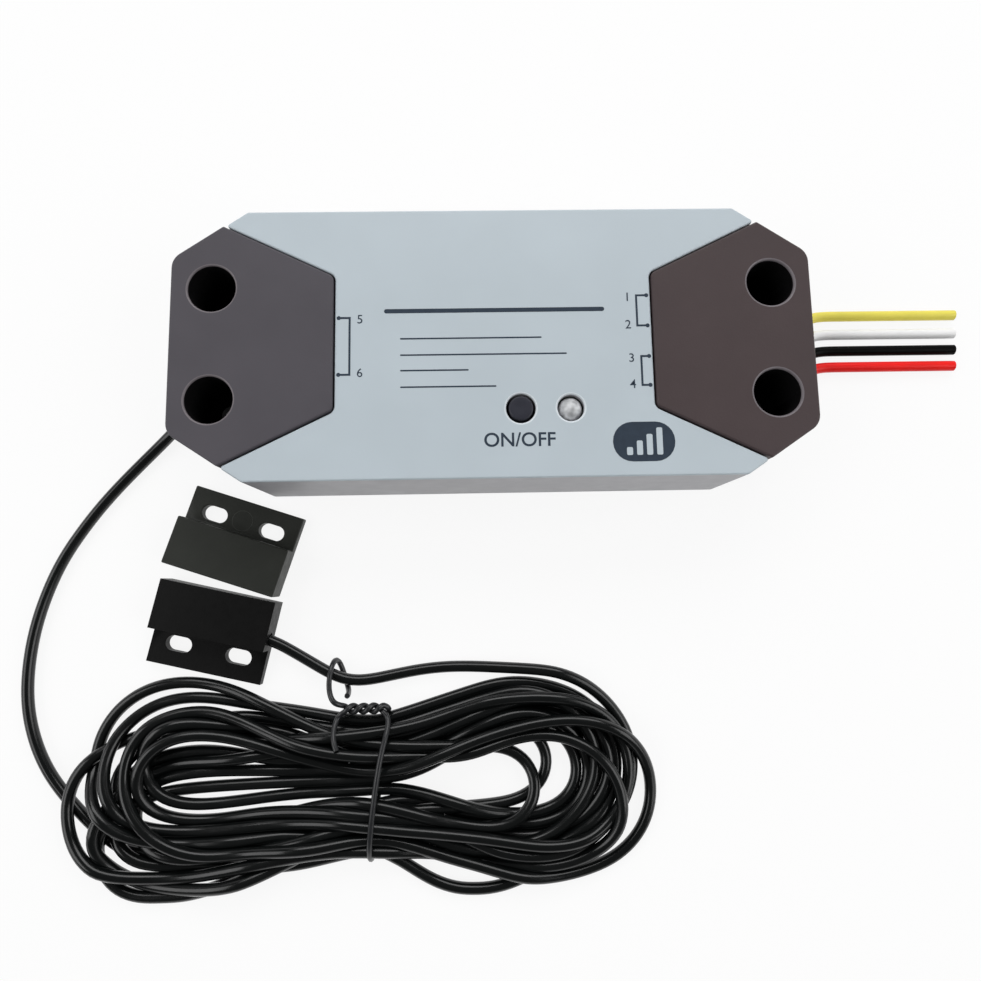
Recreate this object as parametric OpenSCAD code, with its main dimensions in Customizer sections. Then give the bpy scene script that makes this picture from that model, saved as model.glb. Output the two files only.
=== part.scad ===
/* [Casing] */
// Length of the casing over its two ends
casing_l = 130; // [122:1:150]
// Width of the casing over its long sides
casing_w = 56; // [54:1:70]
// Height of the casing from the mounting face to the cover
casing_h = 24; // [23:0.5:34]
// How far each corner is cut back along the length
chamfer_x = 15; // [13:0.5:17]
// How far each corner is cut back across the width
chamfer_y = 10; // [8:0.5:12]
// Wall of the cover and of the end caps
wall = 2; // [1.6:0.1:2.2]
// Floor of the base tray
floor_t = 2; // [1.6:0.1:2.4]
// Thickness of the cover's and the caps' top plates
top_t = 2; // [1.6:0.1:2.4]
// Height where the base tray meets the cover and the caps
split_z = 8; // [7.6:0.1:9]
// Rounding of the casing's end corners
end_r = 3.5; // [1:0.5:5]
// Rounding of the casing's long side corners
side_r = 1.2; // [0.4:0.2:3]
// Thickness of the locating rim on the base tray
rim_t = 1; // [0.8:0.1:1.2]
// Height of the locating rim above the joint
rim_h = 1.5; // [0.8:0.1:2.5]
// Clearance of parts that slip together
fit = 0.15; // [0.1:0.05:0.25]

/* [End caps] */
// Length of each end cap along the casing
cap_l = 33; // [31:0.5:35]
// Width of each end cap's inner edge
cap_inner_w = 28.2; // [25:0.2:31]
// Where the cap's shoulder sits along the corner cut, from the long side
cap_shoulder = 4.5; // [3:0.25:6]
// Gap between cap and cover
cap_gap = 0.3; // [0.2:0.05:0.5]
// Height of the caps above the cover
cap_proud = 0.4; // [0:0.1:0.8]
// Thickness of the cap's skirt beside the cover
skirt_t = 1.4; // [1:0.1:1.6]
// Rounding of the cap's inner corners
cap_r = 1.4; // [0.6:0.2:2.4]
// Diameter of the screw wells
well_d = 9.6; // [8:0.2:10]
// Wall around each screw well
well_wall = 1.6; // [1.2:0.1:1.8]
// Distance of the wells from the casing's end
well_inset = 8.25; // [7.75:0.25:9]
// Spacing of the wells across the width
well_pitch = 23; // [22:0.5:26]
// Floor of each screw well
well_floor = 2.2; // [1.6:0.2:3]
// Hole for the mounting screws
mount_hole_d = 4.5; // [3.5:0.1:5]
// Outside diameter of the base bosses under the wells
mount_boss_d = 7.2; // [6.6:0.1:7.6]

/* [Casing screws] */
// Shank diameter of the casing screws
screw_d = 2.1; // [1.8:0.1:2.4]
// Head diameter of the casing screws
screw_head_d = 4.6; // [4:0.1:5]
// Head height of the casing screws
screw_head_h = 1.7; // [1.2:0.1:2]
// Depth of the counterbores under the base
counterbore = 2.4; // [2.2:0.1:3]
// Shank length of the casing screws
screw_l = 11; // [9:0.5:12]
// Diameter of the bosses for the casing screws
screw_boss_d = 6.8; // [6.4:0.1:7]
// Clearance around the shanks of the casing screws
screw_slack = 0.3; // [0.2:0.05:0.4]
// Clearance around the heads of the casing screws
head_slack = 0.2; // [0.1:0.05:0.3]
// Diameter of the posts in the cover and the caps
post_d = 5.4; // [4.8:0.1:5.6]
// Distance of the cover posts from the casing's long side
cover_post_inset = 6.2; // [6:0.1:7]
// Distance of the cover posts from the middle
cover_post_x = 25; // [23:0.5:26]
// Distance of the cap posts from the wells along the length
cap_post_back = 8.75; // [8:0.25:9.5]
// Distance of the cap posts from the centre line
cap_post_y = 17; // [16.5:0.25:17.5]

/* [Circuit board] */
// Thickness of the circuit board
board_t = 1.6; // [1.2:0.1:1.8]
// Height of the circuit board's underside
board_z = 5; // [4.6:0.1:5.2]
// Clearance between the board's edges and the bosses
board_gap = 0.6; // [0.4:0.1:1]
// Distance of the board screws from the board's ends
board_screw_inset = 4.5; // [3.5:0.25:5]
// Distance of the board screws from the centre line
board_screw_y = 12.5; // [11.5:0.25:13]
// Diameter of the posts under the board
board_post_d = 5; // [4:0.2:5.4]
// Shank diameter of the board screws
board_screw_d = 1.7; // [1.4:0.1:1.9]
// Head diameter of the board screws
board_head_d = 3.8; // [3.2:0.1:4]

/* [Board parts] */
// Length of the relay
relay_l = 19; // [16:0.5:19]
// Width of the relay
relay_w = 15.2; // [12:0.2:15.6]
// Height of the relay
relay_h = 13; // [9:0.5:14]
// Diameter of the smoothing capacitors
cap_can_d = 8; // [6.3:0.1:8.4]
// Height of the smoothing capacitors
cap_can_h = 11.5; // [8:0.5:13]
// Diameter of the power inductor
coil_d = 8; // [6:0.2:8.4]
// Height of the power inductor
coil_h = 6.5; // [4:0.5:8]
// Length of the radio board
radio_l = 20; // [18:0.5:22]
// Width of the radio board
radio_w = 16; // [14:0.5:16]
// Thickness of the radio board
radio_t = 0.8; // [0.6:0.1:1]
// Strip of the radio board kept free for its aerial
aerial_l = 5; // [3:0.5:6]
// Margin of the shield on the radio board
shield_edge = 1; // [0.6:0.1:2]
// Height of the radio board's shield
shield_h = 2.2; // [1.6:0.1:3]
// Diameter of the input fuse
fuse_d = 8; // [7:0.2:8.4]
// Height of the input fuse
fuse_h = 7.6; // [6:0.2:9]
// Height of the bridge rectifier and the opto coupler
chip_h = 3.4; // [1.6:0.2:4]
// Length of the bridge rectifier
bridge_l = 8.4; // [7:0.2:9]
// Width of the bridge rectifier
bridge_w = 6.4; // [5:0.2:6.6]
// Length of the opto coupler
opto_l = 4.6; // [4:0.2:5]
// Width of the opto coupler
opto_w = 6.5; // [5:0.1:6.6]
// Length of the regulator chip
regulator_l = 5; // [4:0.2:5.4]
// Width of the regulator chip
regulator_w = 4; // [3:0.2:5]
// Height of the regulator chip
regulator_h = 1.6; // [1.2:0.1:2]
// Clearance between neighbouring board parts
part_gap = 1.6; // [1:0.1:2]
// Distance of the board parts from the board's long edge
part_edge = 1.2; // [0.8:0.1:1.6]
// Clearance between the board parts and the cover's notches
notch_gap = 1.9; // [1:0.1:3]
// Spacing of the terminals
term_pitch = 3.81; // [3.5:0.01:3.9]
// Depth of the terminal blocks
term_l = 8; // [7:0.2:8.4]
// Height of the terminal blocks
term_h = 9; // [8:0.2:10]
// Height of the terminals' wire entry above the board
term_entry = 3.4; // [3:0.1:3.8]
// Diameter of the terminals' wire entry
entry_d = 2.7; // [2.6:0.05:3]
// Diameter of the terminal screws
term_screw_d = 2.6; // [2.2:0.1:2.8]

/* [Button and lamp] */
// Distance of the button from the middle along the length
button_x = 5.1; // [3.5:0.1:6]
// Distance of the lamp from the middle along the length
lamp_x = 15.1; // [14:0.1:15.4]
// Distance of the button and the lamp from the casing's front side
button_inset = 14; // [13.8:0.1:14.5]
// Diameter of the button's head
button_d = 4.9; // [4:0.1:5.2]
// Clearance around the button's head
button_gap = 0.5; // [0.3:0.05:0.6]
// Height of the button's head above the cover
button_proud = 0.2; // [0:0.05:0.5]
// Travel of the button
button_travel = 0.5; // [0.3:0.05:0.7]
// Diameter of the flange that keeps the button in
button_flange_d = 7.8; // [7.2:0.1:8]
// Thickness of the button's flange
button_flange_t = 1.2; // [0.8:0.1:1.6]
// Diameter of the button's stem
stem_d = 3.2; // [2.6:0.1:3.4]
// Depth of the guide under the cover
guide_h = 2; // [1.4:0.1:2.4]
// Wall of the guide
guide_wall = 1.5; // [1.2:0.1:1.8]
// Side of the switch body
switch_w = 6; // [5.8:0.1:6.2]
// Height of the switch body
switch_h = 3.6; // [3.2:0.1:4]
// Diameter of the switch's plunger
plunger_d = 3.4; // [2.8:0.1:3.6]
// Height of the plunger above the switch body
plunger_up = 1.8; // [1.4:0.1:2.2]
// Diameter of the lamp's lens
lamp_d = 5; // [4.6:0.1:5.2]
// Height of the lens from its flange to its tip
lamp_h = 8.2; // [7.6:0.1:8.6]
// Diameter of the lens's flange
lamp_flange_d = 5.8; // [5.4:0.1:6]
// Clearance around the lens in the cover
lamp_gap = 0.2; // [0.1:0.05:0.3]

/* [Leads] */
// Diameter of the four connecting leads
lead_d = 2.4; // [1.8:0.1:2.4]
// Diameter of the leads' bare ends
core_d = 1.2; // [0.8:0.1:1.4]
// Height of the leads where they leave the casing
lead_z = 5; // [4.8:0.1:5.2]
// Width of the rubber block for the leads
block_w = 15.6; // [15.2:0.2:16]
// Height of the rubber block for the leads
block_h = 4.2; // [3.8:0.1:4.4]
// Clearance of the leads in the rubber block
lead_gap = 0.1; // [0.05:0.05:0.2]

/* [Sensor cord] */
// Diameter of the sensor cord
cord_d = 2.5; // [2:0.1:2.6]
// Height of the cord where it leaves the casing
cord_z = 5; // [4.8:0.1:5.2]
// Distance of the cord's exit from the centre line
cord_y = 8.5; // [8:0.1:8.8]
// Angle of the cord's exit from the casing's length
cord_turn = 20; // [18:1:22]
// Outside diameter of the cord's rubber bush
bush_d = 5; // [4.4:0.1:5.2]
// Clearance of the cord in its bush
cord_gap = 0.1; // [0.05:0.05:0.15]
// Diameter of the cord's two cores
strand_d = 1; // [0.8:0.1:1.1]
// Radius of the hank's widest turn
hank_r = 22.5; // [22.2:0.1:23.5]
// Half of the hank's straight run
hank_run = 37.5; // [36.5:0.5:39]
// Step from one turn to the next
hank_step = 3.05; // [3.05:0.01:3.1]
// How far the turns are drawn in at the waist
hank_draw = 6.4; // [5.5:0.1:6.5]
// Height from the lower layer of turns to the upper one
hank_layer = 2.95; // [2.95:0.05:3.2]
// Diameter of the tie wire
tie_d = 1.2; // [1:0.1:1.2]

/* [Sensor halves] */
// Length of each sensor half
half_l = 25.5; // [24:0.5:27]
// Depth of each half's body
body_w = 10.7; // [10.2:0.1:11]
// Depth of each half's flange
flange_w = 7.5; // [7:0.1:8]
// Height of each half's body
body_h = 6; // [5.6:0.1:7]
// Thickness of each half's flange
flange_t = 2.2; // [1.6:0.1:2.6]
// Wall of each half's body
half_wall = 1.3; // [1.1:0.1:1.4]
// Thickness of each half's back plate
plate_t = 1; // [0.8:0.1:1.2]
// Spacing of the two fixing slots
slot_pitch = 13.4; // [12:0.2:14]
// Length of each fixing slot
slot_l = 5.8; // [4.5:0.1:6.2]
// Width of each fixing slot
slot_w = 3.3; // [3:0.1:3.5]
// Distance of the slots from the flange's free edge
slot_edge = 4.9; // [4.6:0.1:5]
// Angle of the cord's sensor half
reed_turn = -13; // [-14:0.5:-12]
// Angle of the magnet half
magnet_turn = 161.5; // [161:0.5:162]
// Diameter of the reed's glass tube
glass_d = 2.6; // [2:0.1:2.8]
// Length of the reed's glass tube
glass_l = 13; // [11:0.5:14]
// Length of the glass tube's sealed ends
glass_seal = 1.6; // [1.2:0.1:2]
// Diameter of the reed's wires
blade_d = 0.6; // [0.5:0.05:0.7]
// Clearance between the reed's glass tube and the wall
glass_gap = 0.9; // [0.6:0.1:1.2]
// Distance of the cord from the body's flange side
cord_in = 2.6; // [2.6:0.1:2.8]
// Height of the cord where it enters its half
cord_up = 3; // [2.8:0.1:3.2]
// How far the cord reaches into its half
cord_grip = 2.4; // [2:0.1:2.6]
// Distance at which the halves lie apart
rest_gap = 2.1; // [2:0.1:2.6]
// Direction from the cord's half to the magnet half
rest_turn = 77.3; // [76:0.1:78]
// Length of the magnet
magnet_l = 18; // [14:0.5:20]
// Width of the magnet
magnet_w = 5; // [3:0.5:6]
// Height of the magnet
magnet_h = 3; // [2:0.2:3.4]

/* [Build] */
// Piece to make

/* [Hidden] */
$fn = 48;

shell_c = [0.72, 0.77, 0.81];
cap_c = [0.33, 0.30, 0.31];
board_c = [0.10, 0.36, 0.20];
black_c = [0.08, 0.08, 0.08];
steel_c = [0.75, 0.76, 0.78];
copper_c = [0.80, 0.50, 0.30];

// Plan corners
half_x = casing_l / 2;
half_y = casing_w / 2;
side_x = half_x - chamfer_x;
end_y = half_y - chamfer_y;
neck_x = half_x - cap_l;
neck_y = cap_inner_w / 2;
knee_x = side_x + cap_shoulder;
knee_y = half_y - chamfer_y * cap_shoulder / chamfer_x;
well_x = half_x - well_inset;
well_y = well_pitch / 2;
tube_r = well_d / 2 + well_wall;
cap_post_x = well_x - cap_post_back;
cover_post_y = half_y - cover_post_inset;
base_wall = wall + fit + rim_t;
button_y = half_y - button_inset;
top_z = casing_h - top_t;

// Board
board_l = 2 * (cap_post_x - screw_boss_d / 2 - board_gap);
board_w = 2 * (cover_post_y - screw_boss_d / 2 - board_gap);
board_top = board_z + board_t;
board_screw_x = board_l / 2 - board_screw_inset;
room = top_z - board_top - 1;
term_x = board_l / 2 - term_l;
term_z = board_top + term_entry;

// Places of the board parts, from the notches and the board's edge
notch_x = neck_x - wall - notch_gap;
part_y = board_w / 2 - part_edge;
relay_x = notch_x - relay_l / 2;
relay_y = part_y - part_edge - relay_w / 2;
can_y = part_y - cap_can_d / 2;
can_b_x = relay_x - relay_l / 2 - part_gap - cap_can_d / 2;
can_a_x = can_b_x - cap_can_d - part_gap;
coil_x = can_a_x - cap_can_d / 2 - part_gap - coil_d / 2;
coil_y = part_y - coil_d / 2;
radio_x = radio_l / 2 - notch_x;
radio_y = part_y - max(cap_can_d, coil_d) - part_gap / 2 - radio_w / 2;
chip_y = relay_y - relay_w / 2 - part_gap;
bridge_x = notch_x - bridge_l / 2;
regulator_x = radio_x + radio_l / 2 + part_gap + regulator_l / 2;
opto_x = regulator_x + regulator_l / 2 + part_gap + opto_l / 2;
fuse_x = button_x - switch_w / 2 - part_gap - fuse_d / 2;
fuse_y = part_y - fuse_d / 2;

// Button and lamp heights
guide_z = top_z - guide_h;
flange_top = guide_z - fit;
stem_z = board_top + switch_h + plunger_up;
lamp_base = casing_h + 0.2 - lamp_h;

// Laid-out sensor set, measured from the casing's front left corner
lay = [-half_x, -half_y, 0];
lie = cord_d / 2 + 0.02;
reed_at = lay + [2.7, -29.8, 0];
magnet_at = reed_at + (body_w + flange_w + rest_gap) * [cos(rest_turn), sin(rest_turn), 0];
hank_at = lay + [37.5, -62.7, 0];
flange_edge = -(body_w + flange_w) / 2;
body_edge = flange_edge + flange_w;
cord_v = body_edge + cord_in;
cord_h = cord_up;
glass_v = body_edge + body_w - half_wall - glass_gap - glass_d / 2;
magnet_v = body_edge + body_w - half_wall - fit - magnet_w / 2;
glass_z = plate_t + glass_d / 2 + 0.1;

casing_pts = [[half_x, -end_y], [half_x, end_y], [side_x, half_y], [-side_x, half_y],
  [-half_x, end_y], [-half_x, -end_y], [-side_x, -half_y], [side_x, -half_y]];
casing_r = [end_r, end_r, side_r, side_r, end_r, end_r, side_r, side_r];
cap_pts = [[half_x, -end_y], [half_x, end_y], [knee_x, knee_y], [neck_x, neck_y],
  [neck_x, -neck_y], [knee_x, -knee_y]];
cover_pts = [[side_x, -half_y], [knee_x, -knee_y], [neck_x, -neck_y], [neck_x, neck_y],
  [knee_x, knee_y], [side_x, half_y], [-side_x, half_y], [-knee_x, knee_y],
  [-neck_x, neck_y], [-neck_x, -neck_y], [-knee_x, -knee_y], [-side_x, -half_y]];

function unit(v) = v / norm(v);
function left(v) = [-v.y, v.x];
function cross2(a, b) = a.x * b.y - a.y * b.x;
function meet(a, u, b, v) = a + u * cross2(b - a, v) / cross2(u, v);
function spin(p, a) = [p.x * cos(a) - p.y * sin(a), p.x * sin(a) + p.y * cos(a), p.z];
function same(n, d) = [for (i = [1:n]) d];

// Outline moved inward by one distance for each edge
function inset(p, d) = let (n = len(p)) [for (i = [0:n - 1])
  let (j = (i + n - 1) % n, u = unit(p[i] - p[j]), v = unit(p[(i + 1) % n] - p[i]))
  meet(p[j] + d[j] * left(u), u, p[i] + d[i] * left(v), v)];

// Outline with one radius for each corner
function rounded(p, r, k = 5) = let (n = len(p)) [for (i = [0:n - 1])
  let (b = p[i], u = unit(p[(i + n - 1) % n] - b), v = unit(p[(i + 1) % n] - b),
    half = acos(u * v) / 2, c = b + unit(u + v) * r[i] / sin(half),
    s = b + u * r[i] / tan(half) - c, way = cross2(u, v) < 0 ? 1 : -1)
  for (q = [0:k]) let (a = way * (180 - 2 * half) * q / k)
    c + [s.x * cos(a) - s.y * sin(a), s.x * sin(a) + s.y * cos(a)]];

// Round tube along a route
function runs(p) = let (n = len(p)) [for (i = [0:n - 1]) unit(p[min(i + 1, n - 1)] - p[max(i - 1, 0)])];
function flat(r, t) = unit(r - (r * t) * t);
function sides(t) = [for (i = 0, r = flat(abs(t[0].z) < 0.9 ? [0, 0, 1] : [1, 0, 0], t[0]);
  i < len(t); i = i + 1, r = flat(r, t[min(i, len(t) - 1)])) r];

module tube(p, d, n) {
  t = runs(p);
  r = sides(t);
  last = (len(p) - 1) * n;
  points = [for (i = [0:len(p) - 1]) for (k = [0:n - 1])
    p[i] + d / 2 * (cos(360 * k / n) * r[i] + sin(360 * k / n) * cross(t[i], r[i]))];
  walls = [for (i = [0:len(p) - 2]) for (k = [0:n - 1])
    let (a = i * n + k, b = i * n + (k + 1) % n) each [[a, a + n, b + n], [a, b + n, b]]];
  ends = [for (k = [1:n - 2]) each [[0, k, k + 1], [last, last + k + 1, last + k]]];
  polyhedron(points = points, faces = concat(walls, ends));
}

// Hank of cord
ring_n = 24;
bend_n = 7;
run_n = 5;
first = 17;
rings = 9 * ring_n + 14;
crest = 112.5;
climb = 110;

function outline(m, r) =
  m < bend_n ? [hank_run + r * cos(180 * m / bend_n - 90), r * sin(180 * m / bend_n - 90)]
  : m < bend_n + run_n ? [hank_run - 2 * hank_run * (m - bend_n) / run_n, r]
  : m < 2 * bend_n + run_n
    ? [r * cos(180 * (m - bend_n - run_n) / bend_n + 90) - hank_run,
      r * sin(180 * (m - bend_n - run_n) / bend_n + 90)]
  : [2 * hank_run * (m - 2 * bend_n - run_n) / run_n - hank_run, -r];
function waist(x) = abs(x) < hank_run ? (1 + cos(180 * x / hank_run)) / 2 : 0;
function hank_pt(j) = let (
  q = outline((j + first) % ring_n, hank_r - hank_step * min(j, 2 * crest - j) / ring_n),
  w = waist(q.x), up = max(0, min(1, (j - climb) / run_n)))
  hank_at + [q.x, q.y - sign(q.y) * hank_draw * w, lie + (tie_d + 0.3) * w + hank_layer * up];
hank_turns = [for (j = [0:rings]) hank_pt(j)];
hank_in = unit(hank_turns[1] - hank_turns[0]);
hank_start = hank_turns[0] - hank_in * cord_d;
hank_end = hank_turns[rings] + [-cord_d, 0, 0];
hank_route = concat([hank_start], hank_turns, [hank_end]);

// Least gap between the turns of a tube
function off(p, a, b) = let (v = b - a, k = max(0, min(1, (p - a) * v / (v * v)))) norm(p - a - k * v);
function least(p, d, skip) = min([for (i = [0:len(p) - 1 - skip]) for (j = [i + skip:len(p) - 2])
  off(p[i], p[j], p[j + 1])]) - d;

// Cord from the left terminals to the hank
exit_in = [cos(cord_turn), sin(cord_turn), 0];
exit_at = [-half_x, -cord_y, cord_z];
lead_route = concat(
  [exit_at + 15.2 * exit_in + [0, 0, 3], exit_at + 11.6 * exit_in + [0, 0, 2],
    exit_at + 8 * exit_in + [0, 0, 0.8], exit_at + 5 * exit_in, exit_at + 1.5 * exit_in,
    exit_at - 1.5 * exit_in, exit_at + [-4, -1.9, -0.8], exit_at + [-6.5, -3.6, -2.2]],
  [for (q = [[-9, 13.8], [-12.5, 10.4], [-18, 4.7], [-23.4, -1.4], [-28, -7.8], [-31.9, -14.1],
    [-34.9, -21.8], [-36.9, -29.4], [-37.7, -37.6], [-37.4, -44.4], [-36.1, -50], [-34, -55.4],
    [-31, -60.6], [-27.5, -65.4]]) lay + [q.x, q.y, lie]],
  [hank_start - 5.5 * hank_in, hank_start]);

// Cord from the hank to the reed half
function reed(u, v, z) = reed_at + spin([u, v, z], reed_turn);
function magnet(u, v, z) = magnet_at + spin([u, v, z], magnet_turn);
tail_route = concat([hank_end, hank_end - [4, 0, 0]],
  [for (q = [[60, -38.8, 3.8], [53, -38.6, 3.5], [46, -39.4, 3.2], [39, -40.8, 2.9],
    [34, -41.2, 2.7], [30, -40.2, 2.7], [26, -38.1, 2.7], [22, -35.8, 2.8], [18.6, -34.1, 2.9]])
    lay + q],
  [reed(half_l / 2 + 1.5, cord_v, cord_h), reed(half_l / 2 - cord_grip, cord_v, cord_h)]);

// Tie wire: hook, twisted pair and the loops round the hank and the tail
twist_at = lay + [40.4, -46.5, 8.9];
twist_l = 8.8;
twist_r = 0.9;
twist_n = 16;
function twist_pt(i, a) = twist_at + [-twist_l * i / twist_n,
  twist_r * cos(720 * i / twist_n + a), twist_r * sin(720 * i / twist_n + a)];
tie_route = concat(
  [for (q = [[31, -54.4, 8.2], [30.2, -52.6, 8.2], [30, -50.4, 8.4], [30.4, -48.4, 8.9]]) lay + q],
  [for (i = [twist_n:-1:0]) twist_pt(i, 180)],
  [for (q = [[41.6, -48.6, 9.2], [41.4, -51, 8.4], [40.4, -54.5, 7.9], [39.4, -60, 7.9],
    [38.6, -66, 7.9], [37.9, -72, 7.9], [37.5, -77.6, 7.9], [37.5, -79.8, 7.2], [37.5, -81, 5.6],
    [37.5, -81, 3], [37.6, -80, 1.2], [37.8, -77.6, 0.65], [38.2, -71, 0.65], [38.8, -64, 0.65],
    [39.4, -57, 0.65], [40, -50, 0.65], [40.4, -46.4, 0.9], [40.8, -44.8, 2.2], [41.2, -44.2, 4.4],
    [41.6, -44.2, 6.6]]) lay + q],
  [for (i = [0:twist_n]) twist_pt(i, 0)],
  [for (q = [[30, -45.2, 8.2], [29, -43.6, 6.9], [28.6, -41.4, 5.6], [28.8, -38.8, 4.9],
    [29.2, -36.6, 3.6], [29.6, -36, 1.9], [30.2, -37, 0.65], [31, -39.4, 0.65], [31.8, -41.8, 0.65],
    [32.4, -43.2, 1.8], [32.6, -43.6, 3.6], [32.6, -43.8, 5.6]]) lay + q]);

// The four leads, from their terminals to their cut ends
lead_ends = [12.8, 8.3, 4.3, 0.4];
lead_tips = [45.3, 44.8, 44.4, 44];
function lead_y(i) = term_pitch * (1.5 - i);
function lead_route_of(i) = let (y = lead_y(i), s = lead_ends[i] - y, low = lead_d / 2 + 0.02)
  [[term_x + term_l - 1, y, term_z], [term_x + term_l + 2, y, term_z],
    [term_x + term_l + 4.5, y, term_z - 0.5], [term_x + term_l + 7, y, term_z - 2.2],
    [term_x + term_l + 10, y, lead_z + 1], [half_x - 6, y, lead_z + 0.1],
    [half_x - 3, y, lead_z], [half_x + 0.5, y, lead_z], [half_x + 3, y + 0.06 * s, lead_z - 0.5],
    [half_x + 5, y + 0.24 * s, lead_z - 1.4], [half_x + 7, y + 0.52 * s, lead_z - 2.4],
    [half_x + 9, y + 0.79 * s, low + 0.6], [half_x + 11, y + 0.95 * s, low + 0.15],
    [half_x + 13.5, y + s, low], [half_x + 17, y + s, low], [half_x + 22, y + s, low],
    [half_x + 29, y + s, low], [half_x + 37, y + s, low], [half_x + lead_tips[i], y + s, low]];

echo(hank_gap = least(hank_route, cord_d, 4));
echo(tie_gap = least(tie_route, tie_d, 5));

// Shared shapes
module plate(p, z, h) {
  translate([0, 0, z]) linear_extrude(h) polygon(p);
}

module rod(at, d, h) {
  translate(at) cylinder(d = d, h = h);
}

module box(at, size) {
  translate([at.x - size.x / 2, at.y - size.y / 2, at.z]) cube(size);
}

module corners(x, y) {
  for (i = [-1, 1]) for (j = [-1, 1]) translate([i * x, j * y, 0]) children();
}

module base_tray() {
  color(shell_c) difference() {
    union() {
      difference() {
        plate(rounded(casing_pts, casing_r), 0, split_z);
        plate(inset(casing_pts, same(8, base_wall)), floor_t, split_z);
      }
      for (j = [-1, 1]) box([0, j * (half_y - wall - fit - rim_t / 2), split_z - 1],
        [2 * side_x - 8, rim_t, rim_h + 1]);
      for (i = [-1, 1]) box([i * (half_x - wall - fit - rim_t / 2), 0, split_z - 1],
        [rim_t, 2 * (well_y - tube_r) - 1.2, rim_h + 1]);
      corners(well_x, well_y) rod([0, 0, 0], mount_boss_d, split_z);
      corners(cap_post_x, cap_post_y) rod([0, 0, 0], screw_boss_d, split_z);
      corners(cover_post_x, cover_post_y) rod([0, 0, 0], screw_boss_d, split_z);
      corners(board_screw_x, board_screw_y) rod([0, 0, 0], board_post_d, board_z);
    }
    corners(well_x, well_y) rod([0, 0, -1], mount_hole_d, split_z + 2);
    corners(cap_post_x, cap_post_y) rod([0, 0, -1], screw_d + 2 * screw_slack, split_z + 2);
    corners(cover_post_x, cover_post_y) rod([0, 0, -1], screw_d + 2 * screw_slack, split_z + 2);
    corners(cap_post_x, cap_post_y) rod([0, 0, -1], screw_head_d + 2 * head_slack, counterbore + 1);
    corners(cover_post_x, cover_post_y) rod([0, 0, -1], screw_head_d + 2 * head_slack, counterbore + 1);
    corners(board_screw_x, board_screw_y) rod([0, 0, 1.2], board_screw_d + 0.1, board_z);
    box([half_x, 0, lead_z - block_h / 2 - 0.05], [2 * base_wall + 2, block_w + 0.1, block_h + 0.1]);
    translate(exit_at) rotate([0, 0, cord_turn]) rotate([0, 90, 0])
      translate([0, 0, -4]) cylinder(d = bush_d + 0.1, h = 10);
  }
}

module top_cover() {
  color(shell_c) difference() {
    union() {
      difference() {
        plate(rounded(cover_pts, [side_r, 0.5, cap_r + cap_gap, cap_r + cap_gap, 0.5, side_r,
          side_r, 0.5, cap_r + cap_gap, cap_r + cap_gap, 0.5, side_r]), split_z, casing_h - split_z);
        plate(inset(cover_pts, same(12, wall)), split_z - 1, top_z - split_z + 1);
      }
      corners(cover_post_x, cover_post_y) rod([0, 0, split_z], post_d, top_z - split_z + 1);
      rod([button_x, -button_y, guide_z], button_d + 2 * button_gap + 2 * guide_wall, guide_h + 1);
    }
    corners(cover_post_x, cover_post_y) rod([0, 0, split_z - 1], screw_d + 0.1,
      screw_l - split_z + counterbore + 2);
    rod([button_x, -button_y, guide_z - 1], button_d + 2 * button_gap, casing_h);
    rod([lamp_x, -button_y, top_z - 1], lamp_d + 2 * lamp_gap, casing_h);
  }
}

module end_cap() {
  gaps = [0, 0, cap_gap, cap_gap, cap_gap, 0];
  walls = [wall, wall, cap_gap + skirt_t, cap_gap + skirt_t, cap_gap + skirt_t, wall];
  skin = rounded(inset(cap_pts, gaps), [end_r, end_r, 0.5, cap_r, cap_r, 0.5]);
  difference() {
    union() {
      difference() {
        plate(skin, split_z, casing_h + cap_proud - split_z);
        plate(inset(cap_pts, walls), split_z - 1, top_z - split_z + 1);
      }
      for (j = [-1, 1]) rod([well_x, j * well_y, split_z], 2 * tube_r, top_z - split_z + 1);
      for (j = [-1, 1]) rod([cap_post_x, j * cap_post_y, split_z], post_d, top_z - split_z + 1);
    }
    for (j = [-1, 1]) rod([well_x, j * well_y, split_z + well_floor], well_d, casing_h);
    for (j = [-1, 1]) rod([well_x, j * well_y, split_z - 1], mount_hole_d, casing_h);
    for (j = [-1, 1]) rod([cap_post_x, j * cap_post_y, split_z - 1], screw_d + 0.1,
      screw_l - split_z + counterbore + 2);
  }
}

module left_end_cap() {
  color(cap_c) rotate([0, 0, 180]) end_cap();
}

module right_end_cap() {
  color(cap_c) end_cap();
}

module casing_screw() {
  difference() {
    union() {
      rod([0, 0, counterbore - screw_head_h], screw_head_d, screw_head_h);
      rod([0, 0, counterbore - 0.2], screw_d, screw_l + 0.2);
    }
    box([0, 0, counterbore - screw_head_h - 1], [screw_head_d + 1, 0.8, 1.7]);
  }
}

module casing_screws() {
  color(steel_c) {
    corners(cover_post_x, cover_post_y) casing_screw();
    corners(cap_post_x, cap_post_y) casing_screw();
  }
}

module main_board() {
  color(board_c) difference() {
    box([0, 0, board_z], [board_l, board_w, board_t]);
    corners(board_screw_x, board_screw_y) rod([0, 0, board_z - 1], board_screw_d + 0.5, board_t + 2);
  }
}

module board_screws() {
  color(steel_c) corners(board_screw_x, board_screw_y) difference() {
    union() {
      rod([0, 0, board_top], board_head_d, 1.2);
      rod([0, 0, 1.6], board_screw_d, board_top - 1.4);
    }
    box([0, 0, board_top + 0.7], [board_head_d + 1, 0.6, 1]);
  }
}

module radio_board() {
  color([0.08, 0.22, 0.30]) box([radio_x, radio_y, board_top], [radio_l, radio_w, radio_t]);
}

module radio_shield() {
  color(steel_c) box([radio_x + (aerial_l - shield_edge) / 2, radio_y, board_top + radio_t],
    [radio_l - aerial_l - shield_edge, radio_w - 2 * shield_edge, shield_h]);
}

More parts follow.
